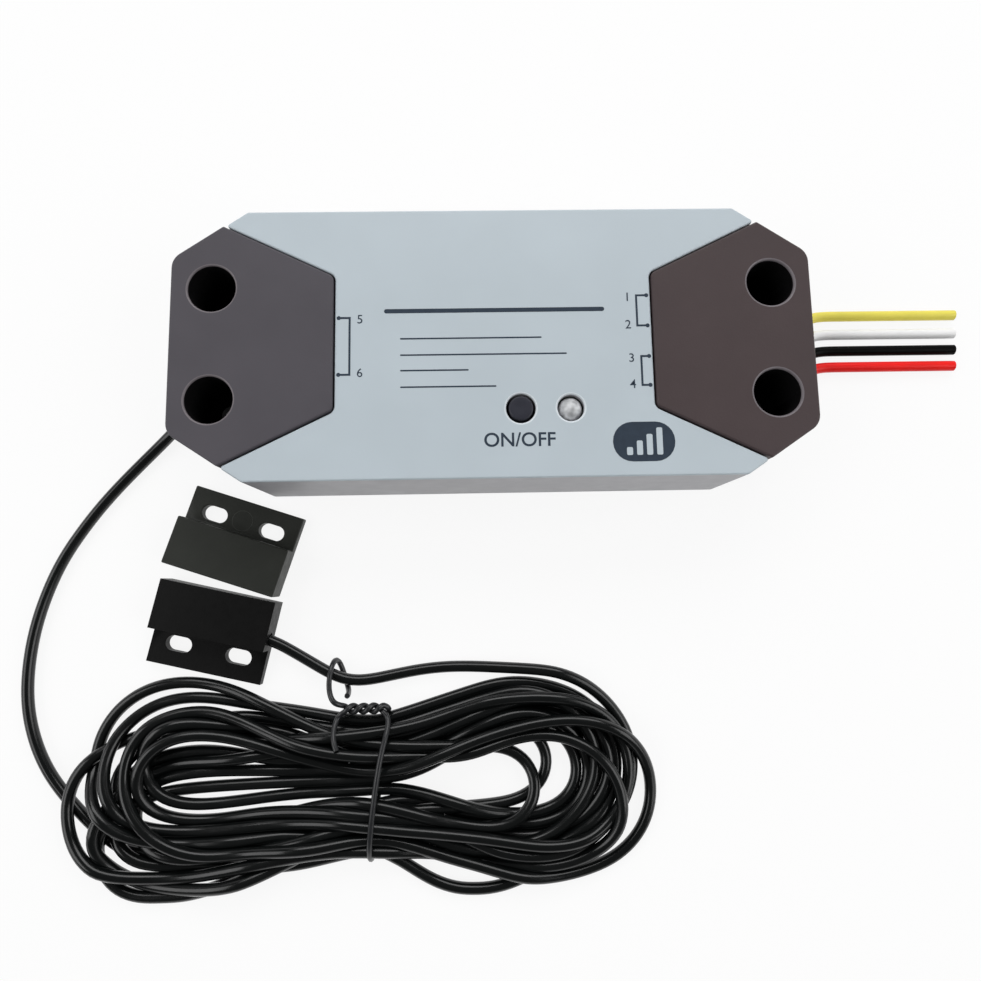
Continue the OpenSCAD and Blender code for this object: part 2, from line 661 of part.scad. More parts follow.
module relay() {
  color([0.10, 0.25, 0.55]) box([relay_x, relay_y, board_top], [relay_l, relay_w, min(relay_h, room)]);
}

module terminals(n) {
  difference() {
    box([term_x + term_l / 2, 0, board_top], [term_l, n * term_pitch + 0.6, term_h]);
    for (i = [0:n - 1]) translate([0, term_pitch * (i - (n - 1) / 2), 0]) {
      translate([term_x + 1.6, 0, term_z]) rotate([0, 90, 0]) cylinder(d = entry_d, h = term_l);
      rod([term_x + 3.6, 0, term_z], term_screw_d + 0.2, term_h);
    }
  }
}

module supply_terminals() {
  color([0.15, 0.45, 0.22]) terminals(4);
}

module sensor_terminals() {
  color([0.15, 0.45, 0.22]) rotate([0, 0, 180]) terminals(2);
}

module terminal_screw() {
  difference() {
    rod([term_x + 3.6, 0, term_z + core_d / 2 + 0.05], term_screw_d, term_h - term_entry - 1.4);
    box([term_x + 3.6, 0, board_top + term_h - 1.4], [term_screw_d + 1, 0.6, 2]);
  }
}

module terminal_screws() {
  color(steel_c) {
    for (i = [0:3]) translate([0, lead_y(i), 0]) terminal_screw();
    rotate([0, 0, 180]) for (i = [1, 2]) translate([0, lead_y(i), 0]) terminal_screw();
  }
}

module smoothing_capacitors() {
  color([0.12, 0.12, 0.16]) for (x = [can_a_x, can_b_x])
    rod([x, can_y, board_top], cap_can_d, min(cap_can_h, room));
}

module power_inductor() {
  color([0.20, 0.20, 0.20]) rod([coil_x, coil_y, board_top], coil_d, min(coil_h, room));
}

module bridge_rectifier() {
  color(black_c) box([bridge_x, chip_y - bridge_w / 2, board_top], [bridge_l, bridge_w, chip_h]);
}

module input_fuse() {
  color([0.45, 0.22, 0.12]) rod([fuse_x, -fuse_y, board_top], fuse_d, min(fuse_h, room));
}

module opto_coupler() {
  color([0.92, 0.92, 0.90]) box([opto_x, chip_y - opto_w / 2, board_top], [opto_l, opto_w, chip_h]);
}

module regulator_chip() {
  color(black_c) box([regulator_x, chip_y - regulator_w / 2, board_top],
    [regulator_l, regulator_w, regulator_h]);
}

module switch_body() {
  color(black_c) difference() {
    box([button_x, -button_y, board_top], [switch_w, switch_w, switch_h]);
    rod([button_x, -button_y, board_top + 0.8], plunger_d + 0.3, switch_h);
  }
}

module switch_plunger() {
  color([0.30, 0.30, 0.32]) rod([button_x, -button_y, board_top + button_travel + 1.1], plunger_d,
    switch_h + plunger_up - button_travel - 1.1);
}

module button_cap() {
  color(black_c) {
    rod([button_x, -button_y, flange_top - 0.1], button_d, casing_h + button_proud - flange_top + 0.1);
    rod([button_x, -button_y, flange_top - button_flange_t], button_flange_d, button_flange_t);
    rod([button_x, -button_y, stem_z], stem_d, flange_top - stem_z - 0.2);
  }
}

module lamp_lens() {
  color([0.90, 0.95, 0.95]) {
    rod([lamp_x, -button_y, lamp_base], lamp_d, lamp_h - lamp_d / 2);
    rod([lamp_x, -button_y, lamp_base], lamp_flange_d, 1);
    translate([lamp_x, -button_y, lamp_base + lamp_h - lamp_d / 2]) sphere(d = lamp_d);
  }
}

module lamp_spacer() {
  color([0.90, 0.90, 0.88]) difference() {
    rod([lamp_x, -button_y, board_top], lamp_flange_d, lamp_base - board_top);
    rod([lamp_x, -button_y, board_top - 1], 3.7, lamp_base);
  }
}

module lamp_pins() {
  color(steel_c) for (i = [-1, 1]) box([lamp_x + i * 1.27, -button_y, board_top],
    [0.5, 0.5, lamp_base - board_top]);
}

module lead_block() {
  color(black_c) difference() {
    box([half_x - base_wall / 2, 0, lead_z - block_h / 2], [base_wall + 0.6, block_w, block_h]);
    for (i = [0:3]) translate([half_x - base_wall - 2, lead_y(i), lead_z]) rotate([0, 90, 0])
      cylinder(d = lead_d + 2 * lead_gap, h = base_wall + 4);
  }
}

module yellow_lead() {
  color([0.90, 0.82, 0.20]) tube(lead_route_of(0), lead_d, 8);
}

module white_lead() {
  color([0.95, 0.95, 0.95]) tube(lead_route_of(1), lead_d, 8);
}

module black_lead() {
  color(black_c) tube(lead_route_of(2), lead_d, 8);
}

module red_lead() {
  color([0.90, 0.10, 0.06]) tube(lead_route_of(3), lead_d, 8);
}

module lead_cores() {
  color(copper_c) for (i = [0:3]) translate([term_x + 2, lead_y(i), term_z]) rotate([0, 90, 0])
    cylinder(d = core_d, h = term_l - 3);
}

module cord_bush() {
  color(black_c) translate(exit_at) rotate([0, 0, cord_turn]) rotate([0, 90, 0]) difference() {
    translate([0, 0, -1.6]) cylinder(d = bush_d, h = base_wall + 3.2);
    translate([0, 0, -3]) cylinder(d = cord_d + 2 * cord_gap, h = base_wall + 6);
  }
}

module sensor_lead() {
  color(black_c) tube(lead_route, cord_d, 8);
}

module sensor_cores() {
  from = lead_route[0];
  back = unit(lead_route[0] - lead_route[1]);
  side = unit([-back.y, back.x, 0]);
  color(steel_c) for (i = [-1, 1]) tube([from + 0.1 * back + 0.6 * i * side,
    from + 1.6 * back + 0.7 * i * side, [-term_x - term_l - 1.6, i * term_pitch / 2, term_z],
    [-term_x - term_l + 3, i * term_pitch / 2, term_z]], strand_d, 8);
}

module sensor_hank() {
  color(black_c) tube(hank_route, cord_d, 6);
}

module sensor_tail() {
  color(black_c) tube(tail_route, cord_d, 8);
}

module hank_tie() {
  color(black_c) tube(tie_route, tie_d, 6);
}

module place(at, turn) {
  translate(at) rotate([0, 0, turn]) children();
}

module sensor_half() {
  mid = (body_edge + body_edge + body_w) / 2;
  difference() {
    union() {
      box([0, mid, 0], [half_l, body_w, body_h]);
      box([0, flange_edge + flange_w / 2, 0], [half_l, flange_w + 0.02, flange_t]);
    }
    box([0, mid, -1], [half_l - 2 * half_wall, body_w - 2 * half_wall, body_h - 1.2 + 1]);
    box([0, mid, -1], [half_l - 2 * half_wall + 1, body_w - 2 * half_wall + 1, plate_t + 1]);
    for (i = [-1, 1]) translate([i * slot_pitch / 2, flange_edge + slot_edge, -1]) {
      box([0, 0, 0], [slot_l - slot_w, slot_w, flange_t + 2]);
      for (j = [-1, 1]) rod([j * (slot_l - slot_w) / 2, 0, 0], slot_w, flange_t + 2);
    }
  }
}

module half_plate() {
  box([0, body_edge + body_w / 2, 0], [half_l - 2 * half_wall + 0.8, body_w - 2 * half_wall + 0.8, plate_t]);
}

module reed_housing() {
  color(black_c) place(reed_at, reed_turn) difference() {
    sensor_half();
    translate([half_l / 2 - half_wall - 1, cord_v, cord_h]) rotate([0, 90, 0])
      cylinder(d = cord_d + 2 * cord_gap, h = half_wall + 2);
  }
}

module reed_plate() {
  color(black_c) place(reed_at, reed_turn) half_plate();
}

module reed_glass() {
  color([0.75, 0.85, 0.80]) place(reed_at, reed_turn) translate([-glass_l / 2, glass_v, glass_z])
    rotate([0, 90, 0]) difference() {
      cylinder(d = glass_d, h = glass_l);
      translate([0, 0, glass_seal]) cylinder(d = glass_d - 1, h = glass_l - 2 * glass_seal);
      translate([0, 0, -1]) cylinder(d = blade_d + 0.04, h = glass_l + 2);
    }
}

module reed_blades() {
  color(steel_c) place(reed_at, reed_turn) for (i = [0, 180])
    translate([0, glass_v, glass_z]) rotate([0, i, 0]) {
      translate([2, 0, 0]) rotate([0, 90, 0]) cylinder(d = blade_d, h = glass_l / 2);
      box([0.8, 0, 0.05], [3.6, 0.9, 0.2]);
    }
}

module reed_cores() {
  core_in = half_l / 2 - cord_grip;
  far = glass_l / 2 + 1.6 * strand_d;
  low = plate_t + 0.8 * strand_d;
  color(copper_c) {
    tube([reed(core_in - 0.45 * strand_d, cord_v + 0.6 * strand_d, cord_h),
      reed(core_in - 1.5 * strand_d, cord_v + 1.6 * strand_d, cord_h),
      reed(far, glass_v - 0.9 * strand_d, glass_z)], strand_d, 8);
    tube([reed(core_in - 0.25 * strand_d, cord_v - 0.6 * strand_d, cord_h),
      reed(core_in - 1.8 * strand_d, cord_v - 0.5 * strand_d, cord_h - 0.4 * strand_d),
      reed(0, cord_v, low), reed(3.1 * strand_d - far, cord_v, low),
      reed(0.6 * strand_d - far, cord_v + 1.4 * strand_d, low + 0.1 * strand_d),
      reed(-far, glass_v - 0.9 * strand_d, glass_z)], strand_d, 8);
  }
}

module magnet_housing() {
  color(black_c) place(magnet_at, magnet_turn) sensor_half();
}

module magnet_plate() {
  color(black_c) place(magnet_at, magnet_turn) half_plate();
}

module bar_magnet() {
  color(steel_c) place(magnet_at, magnet_turn) box([0, magnet_v, plate_t], [magnet_l, magnet_w, magnet_h]);
}

base_tray();
top_cover();
left_end_cap();
right_end_cap();
casing_screws();
main_board();
board_screws();
radio_board();
radio_shield();
relay();
supply_terminals();
sensor_terminals();
terminal_screws();
smoothing_capacitors();
power_inductor();
bridge_rectifier();
input_fuse();
opto_coupler();
regulator_chip();
switch_body();
switch_plunger();
button_cap();
lamp_lens();
lamp_spacer();
lamp_pins();
lead_block();
yellow_lead();
white_lead();
black_lead();
red_lead();
lead_cores();
cord_bush();
sensor_lead();
sensor_cores();
sensor_hank();
sensor_tail();
hank_tie();
reed_housing();
reed_plate();
reed_glass();
reed_blades();
reed_cores();
magnet_housing();
magnet_plate();
bar_magnet();
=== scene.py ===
import math

import bmesh
import bpy
import numpy as np
from mathutils import Matrix, Vector


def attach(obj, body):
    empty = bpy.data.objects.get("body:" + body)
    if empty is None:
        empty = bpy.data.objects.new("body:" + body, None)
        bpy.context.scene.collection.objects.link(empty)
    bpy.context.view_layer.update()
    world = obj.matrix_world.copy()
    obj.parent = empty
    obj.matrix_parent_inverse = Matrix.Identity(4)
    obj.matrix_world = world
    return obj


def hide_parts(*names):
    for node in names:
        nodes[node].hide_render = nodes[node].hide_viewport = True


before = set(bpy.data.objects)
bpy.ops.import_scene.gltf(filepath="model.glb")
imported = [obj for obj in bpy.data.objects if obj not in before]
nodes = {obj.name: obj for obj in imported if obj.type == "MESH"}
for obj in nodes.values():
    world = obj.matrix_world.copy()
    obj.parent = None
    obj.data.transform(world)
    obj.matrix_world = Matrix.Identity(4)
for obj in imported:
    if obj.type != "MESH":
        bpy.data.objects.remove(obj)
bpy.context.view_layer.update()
mm = 0.001
print("frame loaded:", len(nodes), "nodes")


# camera: where the photographer stood, in millimetres
photoView = {
    "eye": (-3.94, -48.26, 162.57),
    "aim": (0.01905, 0.12766, -0.99163),
    "up": (0.01625, 0.99164, 0.12798),
    "lens": 26.175,
    "sensor": 36.0,
}


def addCamera(view):
    data = bpy.data.cameras.new("photoCamera")
    data.lens = view["lens"]
    data.sensor_width = view["sensor"]
    data.clip_start = 0.005
    camera = bpy.data.objects.new("photoCamera", data)
    bpy.context.collection.objects.link(camera)
    up = Vector(view["up"]).normalized()
    back = -Vector(view["aim"]).normalized()
    turn = Matrix((up.cross(back), up, back)).transposed().to_4x4()
    camera.matrix_world = Matrix.Translation(Vector(view["eye"]) * mm) @ turn
    bpy.context.scene.camera = camera


addCamera(photoView)
bpy.context.scene.view_settings.view_transform = "Standard"


# studio: pale floor, dim ceiling, bright surroundings, three softboxes
studio = {
    "floorSize": 8.0,
    "floorColour": (0.93, 0.93, 0.93),
    "floorRough": 0.9,
    "floorSpecular": 0.1,
    "floorWhite": 0.88,  # share of plain white where the floor is looked at
    "surround": 0.62,
    "ceiling": 0.22,
    "ceilingFade": (0.15, 0.85),  # heights where the surround turns into the ceiling
    "frontLight": 0.45,  # the room is dimmer in front of the object than behind it
    "backLight": 1.35,
    "seenCeiling": 0.08,
    "seenFade": (0.02, 0.4),  # the same for what the object mirrors
    "softboxes": [  # name, place, size, watts
        ("backSoftbox", (0.05, 0.75, 0.70), (1.1, 0.5), 5.2),
        ("leftSoftbox", (-0.80, -0.05, 0.65), (0.8, 0.6), 3.6),
        ("rightSoftbox", (0.80, -0.15, 0.65), (0.8, 0.6), 3.6),
    ],
    "target": (0.0, -0.045, 0.0),
}


def link(tree, fromSocket, toSocket):
    tree.links.new(fromSocket, toSocket)


def combine(tree, operation, first, second):
    node = tree.nodes.new("ShaderNodeMath")
    node.operation = operation
    link(tree, first, node.inputs[0])
    link(tree, second, node.inputs[1])
    return node.outputs[0]


def ramp(tree, value, start, end, low, high):
    span = tree.nodes.new("ShaderNodeMapRange")
    span.inputs["From Min"].default_value = start
    span.inputs["From Max"].default_value = end
    span.inputs["To Min"].default_value = low
    span.inputs["To Max"].default_value = high
    link(tree, value, span.inputs["Value"])
    return span.outputs[0]


def seenDirectly(tree):
    rays = tree.nodes.new("ShaderNodeLightPath").outputs
    mirrored = combine(tree, "MAXIMUM", rays["Is Glossy Ray"], rays["Is Transmission Ray"])
    return combine(tree, "MAXIMUM", rays["Is Camera Ray"], mirrored)


def blend(tree, share, first, second, output):
    mix = tree.nodes.new("ShaderNodeMixShader")
    link(tree, share, mix.inputs[0])
    link(tree, first.outputs[0], mix.inputs[1])
    link(tree, second.outputs[0], mix.inputs[2])
    link(tree, mix.outputs[0], output.inputs[0])


def addFloor(settings):
    mesh = bpy.data.meshes.new("studioFloor")
    bm = bmesh.new()
    bmesh.ops.create_grid(bm, x_segments=1, y_segments=1, size=settings["floorSize"] / 2)
    bm.to_mesh(mesh)
    bm.free()
    floor = bpy.data.objects.new("studioFloor", mesh)
    bpy.context.collection.objects.link(floor)
    paper = bpy.data.materials.new("paleSweep")
    paper.use_nodes = True
    tree = paper.node_tree
    shader = tree.nodes["Principled BSDF"]
    shader.inputs["Base Color"].default_value = (*settings["floorColour"], 1)
    shader.inputs["Roughness"].default_value = settings["floorRough"]
    shader.inputs["Specular IOR Level"].default_value = settings["floorSpecular"]
    share = ramp(tree, seenDirectly(tree), 0, 1, 0, settings["floorWhite"])
    blend(tree, share, shader, tree.nodes.new("ShaderNodeEmission"), tree.nodes["Material Output"])
    mesh.materials.append(paper)


def addWorld(settings):
    world = bpy.data.worlds.new("studioWorld")
    bpy.context.scene.world = world
    world.use_nodes = True
    tree = world.node_tree
    tree.nodes.clear()
    facing = tree.nodes.new("ShaderNodeSeparateXYZ")
    link(tree, tree.nodes.new("ShaderNodeTexCoord").outputs["Generated"], facing.inputs[0])
    depth, height = facing.outputs["Y"], facing.outputs["Z"]
    light = tree.nodes.new("ShaderNodeBackground")
    white = tree.nodes.new("ShaderNodeBackground")
    for sky in (light, white):
        sky.inputs["Color"].default_value = (1, 1, 1, 1)
    level = ramp(tree, height, *settings["ceilingFade"], settings["surround"], settings["ceiling"])
    side = ramp(tree, depth, -1, 1, settings["frontLight"], settings["backLight"])
    link(tree, combine(tree, "MULTIPLY", level, side), light.inputs["Strength"])
    mirrored = ramp(tree, height, *settings["seenFade"], 1, settings["seenCeiling"])
    camera = tree.nodes.new("ShaderNodeLightPath").outputs["Is Camera Ray"]
    seen = combine(tree, "MAXIMUM", mirrored, camera)  # white behind the object, a dim ceiling in what it mirrors
    link(tree, seen, white.inputs["Strength"])
    blend(tree, seenDirectly(tree), light, white, tree.nodes.new("ShaderNodeOutputWorld"))


def addSoftboxes(settings):
    for name, place, size, watts in settings["softboxes"]:
        data = bpy.data.lights.new(name, "AREA")
        data.shape = "RECTANGLE"
        data.size, data.size_y = size
        data.energy = watts
        lamp = bpy.data.objects.new(name, data)
        bpy.context.collection.objects.link(lamp)
        lamp.location = place
        lamp.rotation_euler = (Vector(settings["target"]) - Vector(place)).to_track_quat("-Z", "Y").to_euler()


addFloor(studio)
addWorld(studio)
addSoftboxes(studio)
print("studio ready")


# finishes: colours are sRGB bytes, as read
def linear(colour, gain=1.0):
    out = []
    for byte in colour:
        c = byte / 255
        c = c / 12.92 if c <= 0.04045 else ((c + 0.055) / 1.055) ** 2.4
        out.append(min(1.0, c * gain))
    return (*out, 1)


def startFinish(name):
    finish = bpy.data.materials.new(name)
    finish.use_nodes = True
    tree = finish.node_tree
    shader = tree.nodes["Principled BSDF"]
    where = tree.nodes.new("ShaderNodeTexCoord")
    return finish, tree, shader, where.outputs["Object"]


def noise(tree, where, scale, detail=3.0, stretch=None):
    if stretch:
        mapping = tree.nodes.new("ShaderNodeMapping")
        mapping.inputs["Scale"].default_value = stretch
        link(tree, where, mapping.inputs["Vector"])
        where = mapping.outputs[0]
    cloud = tree.nodes.new("ShaderNodeTexNoise")
    cloud.inputs["Scale"].default_value = scale
    cloud.inputs["Detail"].default_value = detail
    link(tree, where, cloud.inputs["Vector"])
    return cloud.outputs["Fac"]


def spread(tree, value, low, high):
    return ramp(tree, value, 0.3, 0.7, low, high)  # most of the noise lies between these


def twoTone(tree, value, dark, light):
    tone = tree.nodes.new("ShaderNodeMix")
    tone.data_type = "RGBA"
    tone.inputs[6].default_value = dark
    tone.inputs[7].default_value = light
    link(tree, value, tone.inputs[0])
    return tone.outputs[2]


def addTone(tree, shader, value, colour, dark, light):
    tone = twoTone(tree, value, linear(colour, dark), linear(colour, light))
    link(tree, tone, shader.inputs["Base Color"])


def roughen(tree, shader, value, depth):
    bump = tree.nodes.new("ShaderNodeBump")
    bump.inputs["Strength"].default_value = 0.5
    bump.inputs["Distance"].default_value = depth
    link(tree, value, bump.inputs["Height"])
    link(tree, bump.outputs[0], shader.inputs["Normal"])


def mouldedPlastic(name, colour, rough=0.45, tone=0.06, grain=2600, depth=0.00002, cloud=55, specular=0.5):
    finish, tree, shader, where = startFinish(name)
    patches = spread(tree, noise(tree, where, cloud), 0, 1)
    addTone(tree, shader, patches, colour, 1 - tone, 1 + tone)
    link(tree, spread(tree, noise(tree, where, cloud * 6), rough - 0.05, rough + 0.05), shader.inputs["Roughness"])
    roughen(tree, shader, noise(tree, where, grain, detail=2.0), depth)
    shader.inputs["Specular IOR Level"].default_value = specular
    return finish


def softSheath(name, colour, rough=0.34, tone=0.08, specular=0.5):
    finish, tree, shader, where = startFinish(name)
    scuffs = spread(tree, noise(tree, where, scale=140, detail=5.0), 0, 1)
    addTone(tree, shader, scuffs, colour, 1 - tone, 1 + tone)
    link(tree, spread(tree, noise(tree, where, scale=260), rough - 0.04, rough + 0.05), shader.inputs["Roughness"])
    roughen(tree, shader, noise(tree, where, scale=900), depth=0.00001)
    shader.inputs["Specular IOR Level"].default_value = specular
    return finish


def turnedMetal(name, colour, rough=0.28, scratch=(1, 1, 14)):
    finish, tree, shader, where = startFinish(name)
    lines = noise(tree, where, scale=900, detail=4.0, stretch=scratch)
    addTone(tree, shader, spread(tree, lines, 0, 1), colour, dark=0.82, light=1.08)
    link(tree, spread(tree, lines, rough - 0.08, rough + 0.12), shader.inputs["Roughness"])
    roughen(tree, shader, lines, depth=0.00001)
    shader.inputs["Metallic"].default_value = 1.0
    return finish


def clearPlastic(name, colour, rough=0.06, milk=0.0, shade=1.0):
    finish, tree, shader, where = startFinish(name)
    # in the lamp lens the white and grey patches stand in for its sparkle: painted reflection; in the reed glass they
    # are a random tint
    tintAndPaintedSparkle = spread(tree, noise(tree, where, scale=750, detail=1.0), 0, 1)
    addTone(tree, shader, tintAndPaintedSparkle, colour, dark=shade, light=1.0)
    shader.inputs["Transmission Weight"].default_value = 1 - milk
    shader.inputs["IOR"].default_value = 1.5
    link(tree, spread(tree, noise(tree, where, scale=900), rough * 0.6, rough * 1.6), shader.inputs["Roughness"])
    roughen(tree, shader, noise(tree, where, scale=500), depth=0.00002)
    return finish


def boardLaminate(name, mask, copper):
    finish, tree, shader, where = startFinish(name)
    tracks = tree.nodes.new("ShaderNodeTexBrick")  # the etched tracks under the mask
    tracks.inputs["Scale"].default_value = 120
    tracks.inputs["Color1"].default_value = linear(mask, 1.0)
    tracks.inputs["Color2"].default_value = linear(mask, 0.85)
    tracks.inputs["Mortar"].default_value = linear(copper)
    tracks.inputs["Mortar Size"].default_value = 0.03
    link(tree, where, tracks.inputs["Vector"])
    link(tree, tracks.outputs["Color"], shader.inputs["Base Color"])
    link(tree, spread(tree, noise(tree, where, scale=300), 0.25, 0.4), shader.inputs["Roughness"])
    roughen(tree, shader, tracks.outputs["Fac"], depth=0.00003)
    return finish


# plastics: roughness, tone, grain, depth, cloud, specular; sheaths: roughness, tone, specular
finishes = {
    "coverPlastic": mouldedPlastic("coverPlastic", (188, 199, 206), 0.42, 0.025, 2200, 0.000016),
    # painted shade: the walls take a darker, neutral grey copy of the cover plastic, for the shade they stand in
    "shadedWallPlastic": mouldedPlastic("shadedWallPlastic", (170, 170, 174), 0.46, 0.03, 2200, 0.000016),
    # painted highlight: a lighter copy of the cover plastic on the chamfers round the button and lamp holes
    "holeRimHighlight": mouldedPlastic("holeRimHighlight", (216, 224, 229), 0.4, 0.03, 2200, 0.000016),
    # painted light: the two caps are one plastic, the left a lit copy and the right a darker, shaded copy
    "leftCapPaintedLightPlastic": mouldedPlastic("leftCapPaintedLightPlastic", (80, 77, 83), 0.5, 0.05, 2600, 0.00003, 80, 0.3),
    "rightCapPaintedLightPlastic": mouldedPlastic("rightCapPaintedLightPlastic", (72, 61, 62), 0.5, 0.05, 2600, 0.00003, 80, 0.3),
    # painted highlight: a lighter copy of the cap plastic on the chamfers round the wells
    "wellRimHighlight": mouldedPlastic("wellRimHighlight", (110, 104, 108), 0.4, 0.05, 2600, 0.00002, 80),
    # painted shade: near black on the wells' inner walls, for the shade deep inside them
    "wellPaintedShade": mouldedPlastic("wellPaintedShade", (14, 13, 14), 0.7, 0.10, 2600, 0.00003, 80, 0.1),
    "sensorPlastic": mouldedPlastic("sensorPlastic", (43, 45, 41), 0.46, 0.10, 2000, 0.00004, 120, 0.25),
    # painted highlight: a lighter copy of the sensor plastic, for the sheen the ejector ring catches
    "markHighlightPlastic": mouldedPlastic("markHighlightPlastic", (60, 62, 58), 0.4, 0.10, 2000, 0.00004, 120, 0.3),
    "reedPlastic": mouldedPlastic("reedPlastic", (12, 12, 12), 0.42, 0.14, 2000, 0.00004, 120, 0.15),
    "buttonPlastic": mouldedPlastic("buttonPlastic", (47, 48, 57), 0.4, 0.08, 3000, 0.00002, 400, 0.3),
    "cordJacket": softSheath("cordJacket", (13, 15, 15), 0.2, 0.12, 0.5),
    "tieSheath": softSheath("tieSheath", (34, 35, 37), 0.30, 0.10),
    "yellowSheath": softSheath("yellowSheath", (240, 226, 94), 0.36, 0.06, 0.3),
    "whiteSheath": softSheath("whiteSheath", (249, 249, 249), 0.36, 0.03, 0.3),
    "blackSheath": softSheath("blackSheath", (5, 5, 5), 0.36, 0.10, 0.06),
    "redSheath": softSheath("redSheath", (249, 18, 12), 0.36, 0.06, 0.25),
    "blackRubber": mouldedPlastic("blackRubber", (26, 26, 27), 0.62, 0.10, 1800, 0.00004, 200, 0.3),
    "screwSteel": turnedMetal("screwSteel", (176, 178, 182)),
    "tinnedSteel": turnedMetal("tinnedSteel", (190, 192, 194), 0.32, (1, 9, 1)),
    "copperCore": turnedMetal("copperCore", (206, 132, 84), 0.3, (12, 1, 1)),
    "magnetMetal": turnedMetal("magnetMetal", (150, 152, 156), 0.24, (9, 1, 1)),
    # the lens's white and grey patches are painted reflection
    "clearLens": clearPlastic("clearLens", (250, 252, 255), 0.08, 0.75, 0.5),
    "lampCup": mouldedPlastic("lampCup", (240, 243, 246), 0.22, 0.10, 900, 0.00004, 700),
    "reedGlass": clearPlastic("reedGlass", (206, 226, 214), 0.04, 0, 0.9),
    "circuitBoard": boardLaminate("circuitBoard", (24, 92, 52), (66, 138, 84)),
    "radioLaminate": boardLaminate("radioLaminate", (20, 52, 78), (58, 98, 122)),
    "relayCase": mouldedPlastic("relayCase", (28, 66, 140), 0.35, 0.06, 1500, 0.00002, 200),
    "terminalGreen": mouldedPlastic("terminalGreen", (38, 116, 58), 0.42, 0.06, 1800, 0.00002, 220),
    "capacitorSleeve": mouldedPlastic("capacitorSleeve", (32, 32, 42), 0.25, 0.10, 1200, 0.00001, 260),
    "ferrite": mouldedPlastic("ferrite", (52, 52, 54), 0.7, 0.15, 1500, 0.00006, 500, 0.3),
    "chipResin": mouldedPlastic("chipResin", (24, 24, 26), 0.55, 0.12, 2600, 0.00003, 420),
    "fuseCase": mouldedPlastic("fuseCase", (112, 56, 32), 0.38, 0.08, 1500, 0.00002, 260),
    "paleResin": mouldedPlastic("paleResin", (232, 232, 226), 0.5, 0.04, 2200, 0.00002, 260),
    "printInk": mouldedPlastic("printInk", (44, 56, 70), 0.6, 0.08, 3200, 0.00001, 900, 0.3),
}
print("finishes:", len(finishes))


# shared helpers for pieces
def addPiece(name, data, finish, body, replaced=()):
    piece = bpy.data.objects.new(name, data)
    bpy.context.collection.objects.link(piece)
    data.materials.append(finishes[finish])
    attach(piece, body)
    if replaced:
        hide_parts(*replaced)
    return piece


def fromBmesh(name, bm, finish, body, replaced=(), smoothAngle=40):
    mesh = bpy.data.meshes.new(name)
    bm.to_mesh(mesh)
    bm.free()
    mesh.shade_smooth()
    mesh.set_sharp_from_angle(angle=math.radians(smoothAngle))
    return addPiece(name, mesh, finish, body, replaced)


def roundCable(name, points, diameter, finish, body, replaced, sides=4, steps=2):
    curve = bpy.data.curves.new(name, "CURVE")
    curve.dimensions = "3D"
    curve.bevel_depth = diameter / 2
    curve.bevel_resolution = sides
    curve.resolution_u = steps
    curve.use_fill_caps = True
    spline = curve.splines.new("NURBS")
    spline.points.add(len(points) - 1)
    for point, place in zip(spline.points, points):
        point.co = (*place, 1)
    spline.order_u = 4
    spline.use_endpoint_u = True
    return addPiece(name, curve, finish, body, replaced)


def smoothRoute(points, perSpan):
    ends = [2 * points[0] - points[1], *points, 2 * points[-1] - points[-2]]
    t = np.linspace(0, 1, perSpan, endpoint=False)[:, None]
    spans = []
    for a, b, c, d in zip(ends, ends[1:], ends[2:], ends[3:]):
        spans.append(((1 - t) ** 3 * a + (3 * t**3 - 6 * t**2 + 4) * b
                      + (3 * t + 3 * t**2 - 3 * t**3 + 1) * c + t**3 * d) / 6)
    return np.vstack([*spans, points[-1]])


def evenSteps(route, step):
    along = np.r_[0, np.cumsum(np.linalg.norm(np.diff(route, axis=0), axis=1))]
    count = int(along[-1] // step) + 1
    marks = np.linspace(0, along[-1], count)
    return np.stack([np.interp(marks, along, route[:, k]) for k in range(3)], 1), along[-1]


# sensor cord: terminals, exit, hank and reed half, on one route in millimetres
sensorCord = {
    "diameter": 2.5,
    "exit": (-65, -8.5, 5),
    "lead": [(-50.7, -3.3, 8), (-54.1, -4.5, 7), (-57.5, -5.8, 5.8), (-60.3, -6.8, 5), (-63.6, -8, 5), (-66.4, -9, 5),
             (-69, -10.4, 4.2), (-71.5, -12.1, 2.8), (-74, -14.2, 1.6), (-77.5, -17.6, 1.25), (-83, -23.3, 1.25),
             (-88.4, -29.4, 1.25), (-93, -35.8, 1.25), (-96.9, -42.1, 1.25), (-99.9, -49.8, 1.25),
             (-101.9, -57.4, 1.25), (-102.7, -65.6, 1.25), (-102.4, -72.4, 1.25), (-101.1, -78, 1.25),
             (-99, -83.4, 1.25), (-96, -88.4, 1.25), (-92, -93, 1.25), (-87.5, -97.5, 1.25), (-82.5, -101.8, 1.25),
             (-76, -105.5, 1.25)],
    "tail": [(14, -67.9, 4), (8, -67.2, 3.2), (2, -66.9, 2.3), (-5, -66.5, 1.6), (-12, -66.4, 1.27),
             (-19, -67.2, 1.27), (-26, -68.6, 1.8), (-31, -69.2, 2.5), (-35, -68.2, 2.6), (-39, -65.9, 2.4),
             (-43, -63.5, 2.4), (-46.6, -61.35, 2.7), (-49.3, -59.85, 3), (-52, -59.15, 3)],
    "leadHeld": 160,  # lengths at the two ends that stay where they lie
    "tailHeld": 70,
    "step": 2.4,
}
